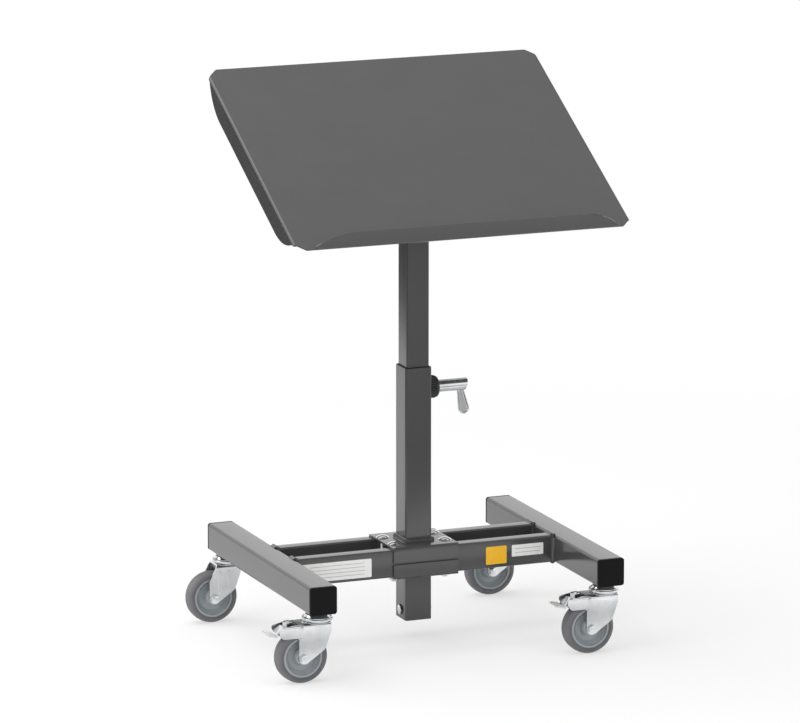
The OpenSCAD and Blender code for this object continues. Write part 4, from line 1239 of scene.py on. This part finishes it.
@dataclass
class Studio:
    """The pale floor, the soft light and the camera at the photograph's angle."""

    yaw: float = 21.8478
    pitch: float = 12.188
    distance: float = 8.7637
    lens: float = 277.532
    sight: float = 200.0
    target: tuple[float, float, float] = (-0.0209, 0.0, 0.40326)
    floor_size: float = 40.0
    floor_white: str = "#ececec"
    # Distance from the column's axis, in metres, to how white the floor looks and how much of it is mirrored
    glow: tuple[tuple[float, float], ...] = ((0.55, 0.56), (1.0, 0.66), (1.8, 1.0))
    shine: tuple[tuple[float, float], ...] = ((0.12, 0.0), (0.3, 1.0))
    # Sine of the height over the horizon to the mirrored brightness: white wall, dark gap, white ceiling
    room: tuple[tuple[float, float], ...] = (
        (0.0, 1.2), (0.48, 1.2), (0.54, 0.05), (0.7, 0.08), (0.78, 0.85), (1.0, 0.92),
    )
    mirror_span: float = 3.0
    # Place on the floor along Y, and along X for the fall-off at the left, to its mirrored brightness
    mirror: tuple[tuple[float, float], ...] = (
        (-2.3, 0.7), (-1.3, 0.45), (-0.85, 0.4), (-0.66, 1.7), (-0.51, 1.85), (-0.46, 0.7), (-0.38, 0.7),
        (-0.33, 1.2), (-0.1, 1.1), (0.4, 1.2), (1.75, 1.15), (2.35, 0.16),
    )
    mirror_left: tuple[tuple[float, float], ...] = ((-3.0, 0.12), (-1.0, 0.12), (-0.75, 1.0), (3.0, 1.0))
    peak: float = 2.0
    lamps: tuple[Lamp, ...] = (
        Lamp("overhead_softbox", (-0.7, 0.2, 3.0), 3.0, 51.0),
        Lamp("left_softbox", (-3.0, -0.8, 1.5), 1.8, 29.0),
        Lamp("edge_softbox", (-2.2, 1.5, 2.9), 1.5, 20.0, mirrored=True),
    )

    def camera(self) -> None:
        """Places the camera on its line through the target."""
        yaw, pitch = math.radians(self.yaw), math.radians(self.pitch)
        along = Vector((math.sin(yaw) * math.cos(pitch), math.cos(yaw) * math.cos(pitch), -math.sin(pitch)))
        lens = bpy.data.cameras.new("camera")
        lens.lens = self.lens
        lens.clip_end = self.sight
        camera = bpy.data.objects.new("camera", lens)
        camera.location = Vector(self.target) - self.distance * along
        camera.rotation_mode = "QUATERNION"
        camera.rotation_quaternion = along.to_track_quat("-Z", "Y")
        bpy.context.scene.collection.objects.link(camera)
        bpy.context.scene.camera = camera

    def hang(self, lamp: Lamp) -> None:
        """Hangs a lamp and turns it to the middle of the cart.

        Args:
            lamp: The lamp. Only a mirrored one shows in the paint and the metal.
        """
        light = bpy.data.lights.new(lamp.name, "AREA")
        light.shape = "SQUARE"
        light.size = lamp.size
        light.energy = lamp.power
        hung = bpy.data.objects.new(lamp.name, light)
        hung.location = lamp.place
        hung.rotation_mode = "QUATERNION"
        hung.rotation_quaternion = (Vector(self.target) - hung.location).to_track_quat("-Z", "Y")
        hung.visible_glossy = lamp.mirrored
        bpy.context.scene.collection.objects.link(hung)

    def graded(self, tree: Tree, along: Socket, stops: Sequence[tuple[float, float]],
               span: float = 0.0, peak: float = 1.0) -> Socket:
        """Grades a brightness along a value.

        Args:
            tree: The material's or the room's tree.
            along: The value.
            stops: Pairs of a value and the brightness there.
            span: The values run from -span to span, or from 0 to 1 if it is 0.
            peak: The brightness that comes out as 1.

        Returns:
            The brightness, as a share of the peak.
        """
        start, width = -span, 2 * span or 1.0
        place = add_node(tree, "ShaderNodeMapRange", {
            "Value": along, "From Min": start, "From Max": start + width,
        })
        ramp = add_node(tree, "ShaderNodeValToRGB", {"Fac": place.outputs["Result"]})
        while len(ramp.color_ramp.elements) < len(stops):
            ramp.color_ramp.elements.new(0.5)
        for element, (value, light) in zip(ramp.color_ramp.elements, stops):
            grey = light / peak
            element.position = (value - start) / width
            element.color = (grey, grey, grey, 1)
        return ramp.outputs["Color"]

    def world(self) -> None:
        """Makes the room: white to the camera, and in reflections white low and overhead, dark between."""
        room = bpy.data.worlds.new("room")
        bpy.context.scene.world = room
        room.use_nodes = True
        tree = room.node_tree
        tree.nodes.clear()
        way = add_node(tree, "ShaderNodeTexCoord").outputs["Generated"]
        up = add_node(tree, "ShaderNodeSeparateXYZ", {0: way}).outputs["Z"]
        walls = self.graded(tree, up, self.room, peak=self.peak)
        seen = add_node(tree, "ShaderNodeLightPath").outputs["Is Camera Ray"]
        power = add_node(tree, "ShaderNodeMix", {0: seen, 2: self.peak, 3: 1.0}).outputs[0]
        white = add_node(tree, "ShaderNodeMix", {0: seen, 6: walls, 7: (1, 1, 1, 1)}, data_type="RGBA")
        sky = add_node(tree, "ShaderNodeBackground", {"Color": white.outputs[2], "Strength": power})
        add_node(tree, "ShaderNodeOutputWorld", {"Surface": sky.outputs[0]})

    def paper(self) -> bpy.types.Material:
        """Makes the floor's paper: white to the camera away from the cart, and bright in reflections.

        Returns:
            The paper's material.
        """
        paper = bpy.data.materials.new("white_paper")
        paper.use_nodes = True
        tree = paper.node_tree
        tree.nodes.clear()
        place = add_node(tree, "ShaderNodeTexCoord").outputs["Object"]
        away = add_node(tree, "ShaderNodeVectorMath", {0: place}, operation="LENGTH").outputs["Value"]
        path = add_node(tree, "ShaderNodeLightPath")
        direct = add_node(tree, MATH, {
            0: path.outputs["Is Camera Ray"], 1: path.outputs["Is Transmission Ray"],
        }, operation="MAXIMUM").outputs[0]
        glossy = path.outputs["Is Glossy Ray"]
        shown = add_node(tree, MATH, {0: self.graded(tree, away, self.glow, self.mirror_span), 1: direct},
                         operation="MULTIPLY").outputs[0]
        mirrored = add_node(tree, MATH, {
            0: self.graded(tree, away, self.shine, self.mirror_span), 1: glossy,
        }, operation="MULTIPLY").outputs[0]
        share = add_node(tree, MATH, {0: shown, 1: mirrored}, operation="MAXIMUM").outputs[0]
        axes = add_node(tree, "ShaderNodeSeparateXYZ", {0: place}).outputs
        bright = add_node(tree, "ShaderNodeMix", {
            0: 1.0, 6: self.graded(tree, axes["Y"], self.mirror, self.mirror_span, self.peak),
            7: self.graded(tree, axes["X"], self.mirror_left, self.mirror_span),
        }, data_type="RGBA", blend_type="MULTIPLY").outputs[2]
        tone = add_node(tree, "ShaderNodeMix", {
            0: glossy, 6: (1, 1, 1, 1), 7: bright,
        }, data_type="RGBA").outputs[2]
        power = add_node(tree, "ShaderNodeMix", {0: glossy, 2: 1.0, 3: self.peak}).outputs[0]
        matt = add_node(tree, "ShaderNodeBsdfDiffuse", {"Color": linear(self.floor_white)})
        glow = add_node(tree, "ShaderNodeEmission", {"Color": tone, "Strength": power})
        mix = add_node(tree, "ShaderNodeMixShader", {0: share, 1: matt.outputs[0], 2: glow.outputs[0]})
        add_node(tree, "ShaderNodeOutputMaterial", {"Surface": mix.outputs[0]})
        return paper

    def floor(self) -> None:
        """Lays the floor, which keeps only the soft shadow near the cart."""
        mesh = bpy.data.meshes.new("floor")
        half = self.floor_size / 2
        corners = [(-half, -half, 0), (half, -half, 0), (half, half, 0), (-half, half, 0)]
        mesh.from_pydata(corners, [], [(0, 1, 2, 3)])
        mesh.materials.append(self.paper())
        floor = bpy.data.objects.new("floor", mesh)
        bpy.context.scene.collection.objects.link(floor)

    def build(self) -> None:
        """Sets up the camera, the room, the floor and the lamps."""
        self.camera()
        self.world()
        self.floor()
        for lamp in self.lamps:
            self.hang(lamp)
        bpy.context.scene.view_settings.view_transform = "Standard"


def main() -> None:
    """Builds the studio and every sub-assembly."""
    logging.basicConfig(level=logging.INFO, format="%(name)s: %(message)s")
    Studio().build()
    Base().build()
    for corner in CASTERS:
        Caster(corner).build()
    Carriage().build()
    Column().build()
    HeightClamp().build()
    Tray().build()
    bpy.context.view_layer.update()


if __name__ == "__main__":
    main()
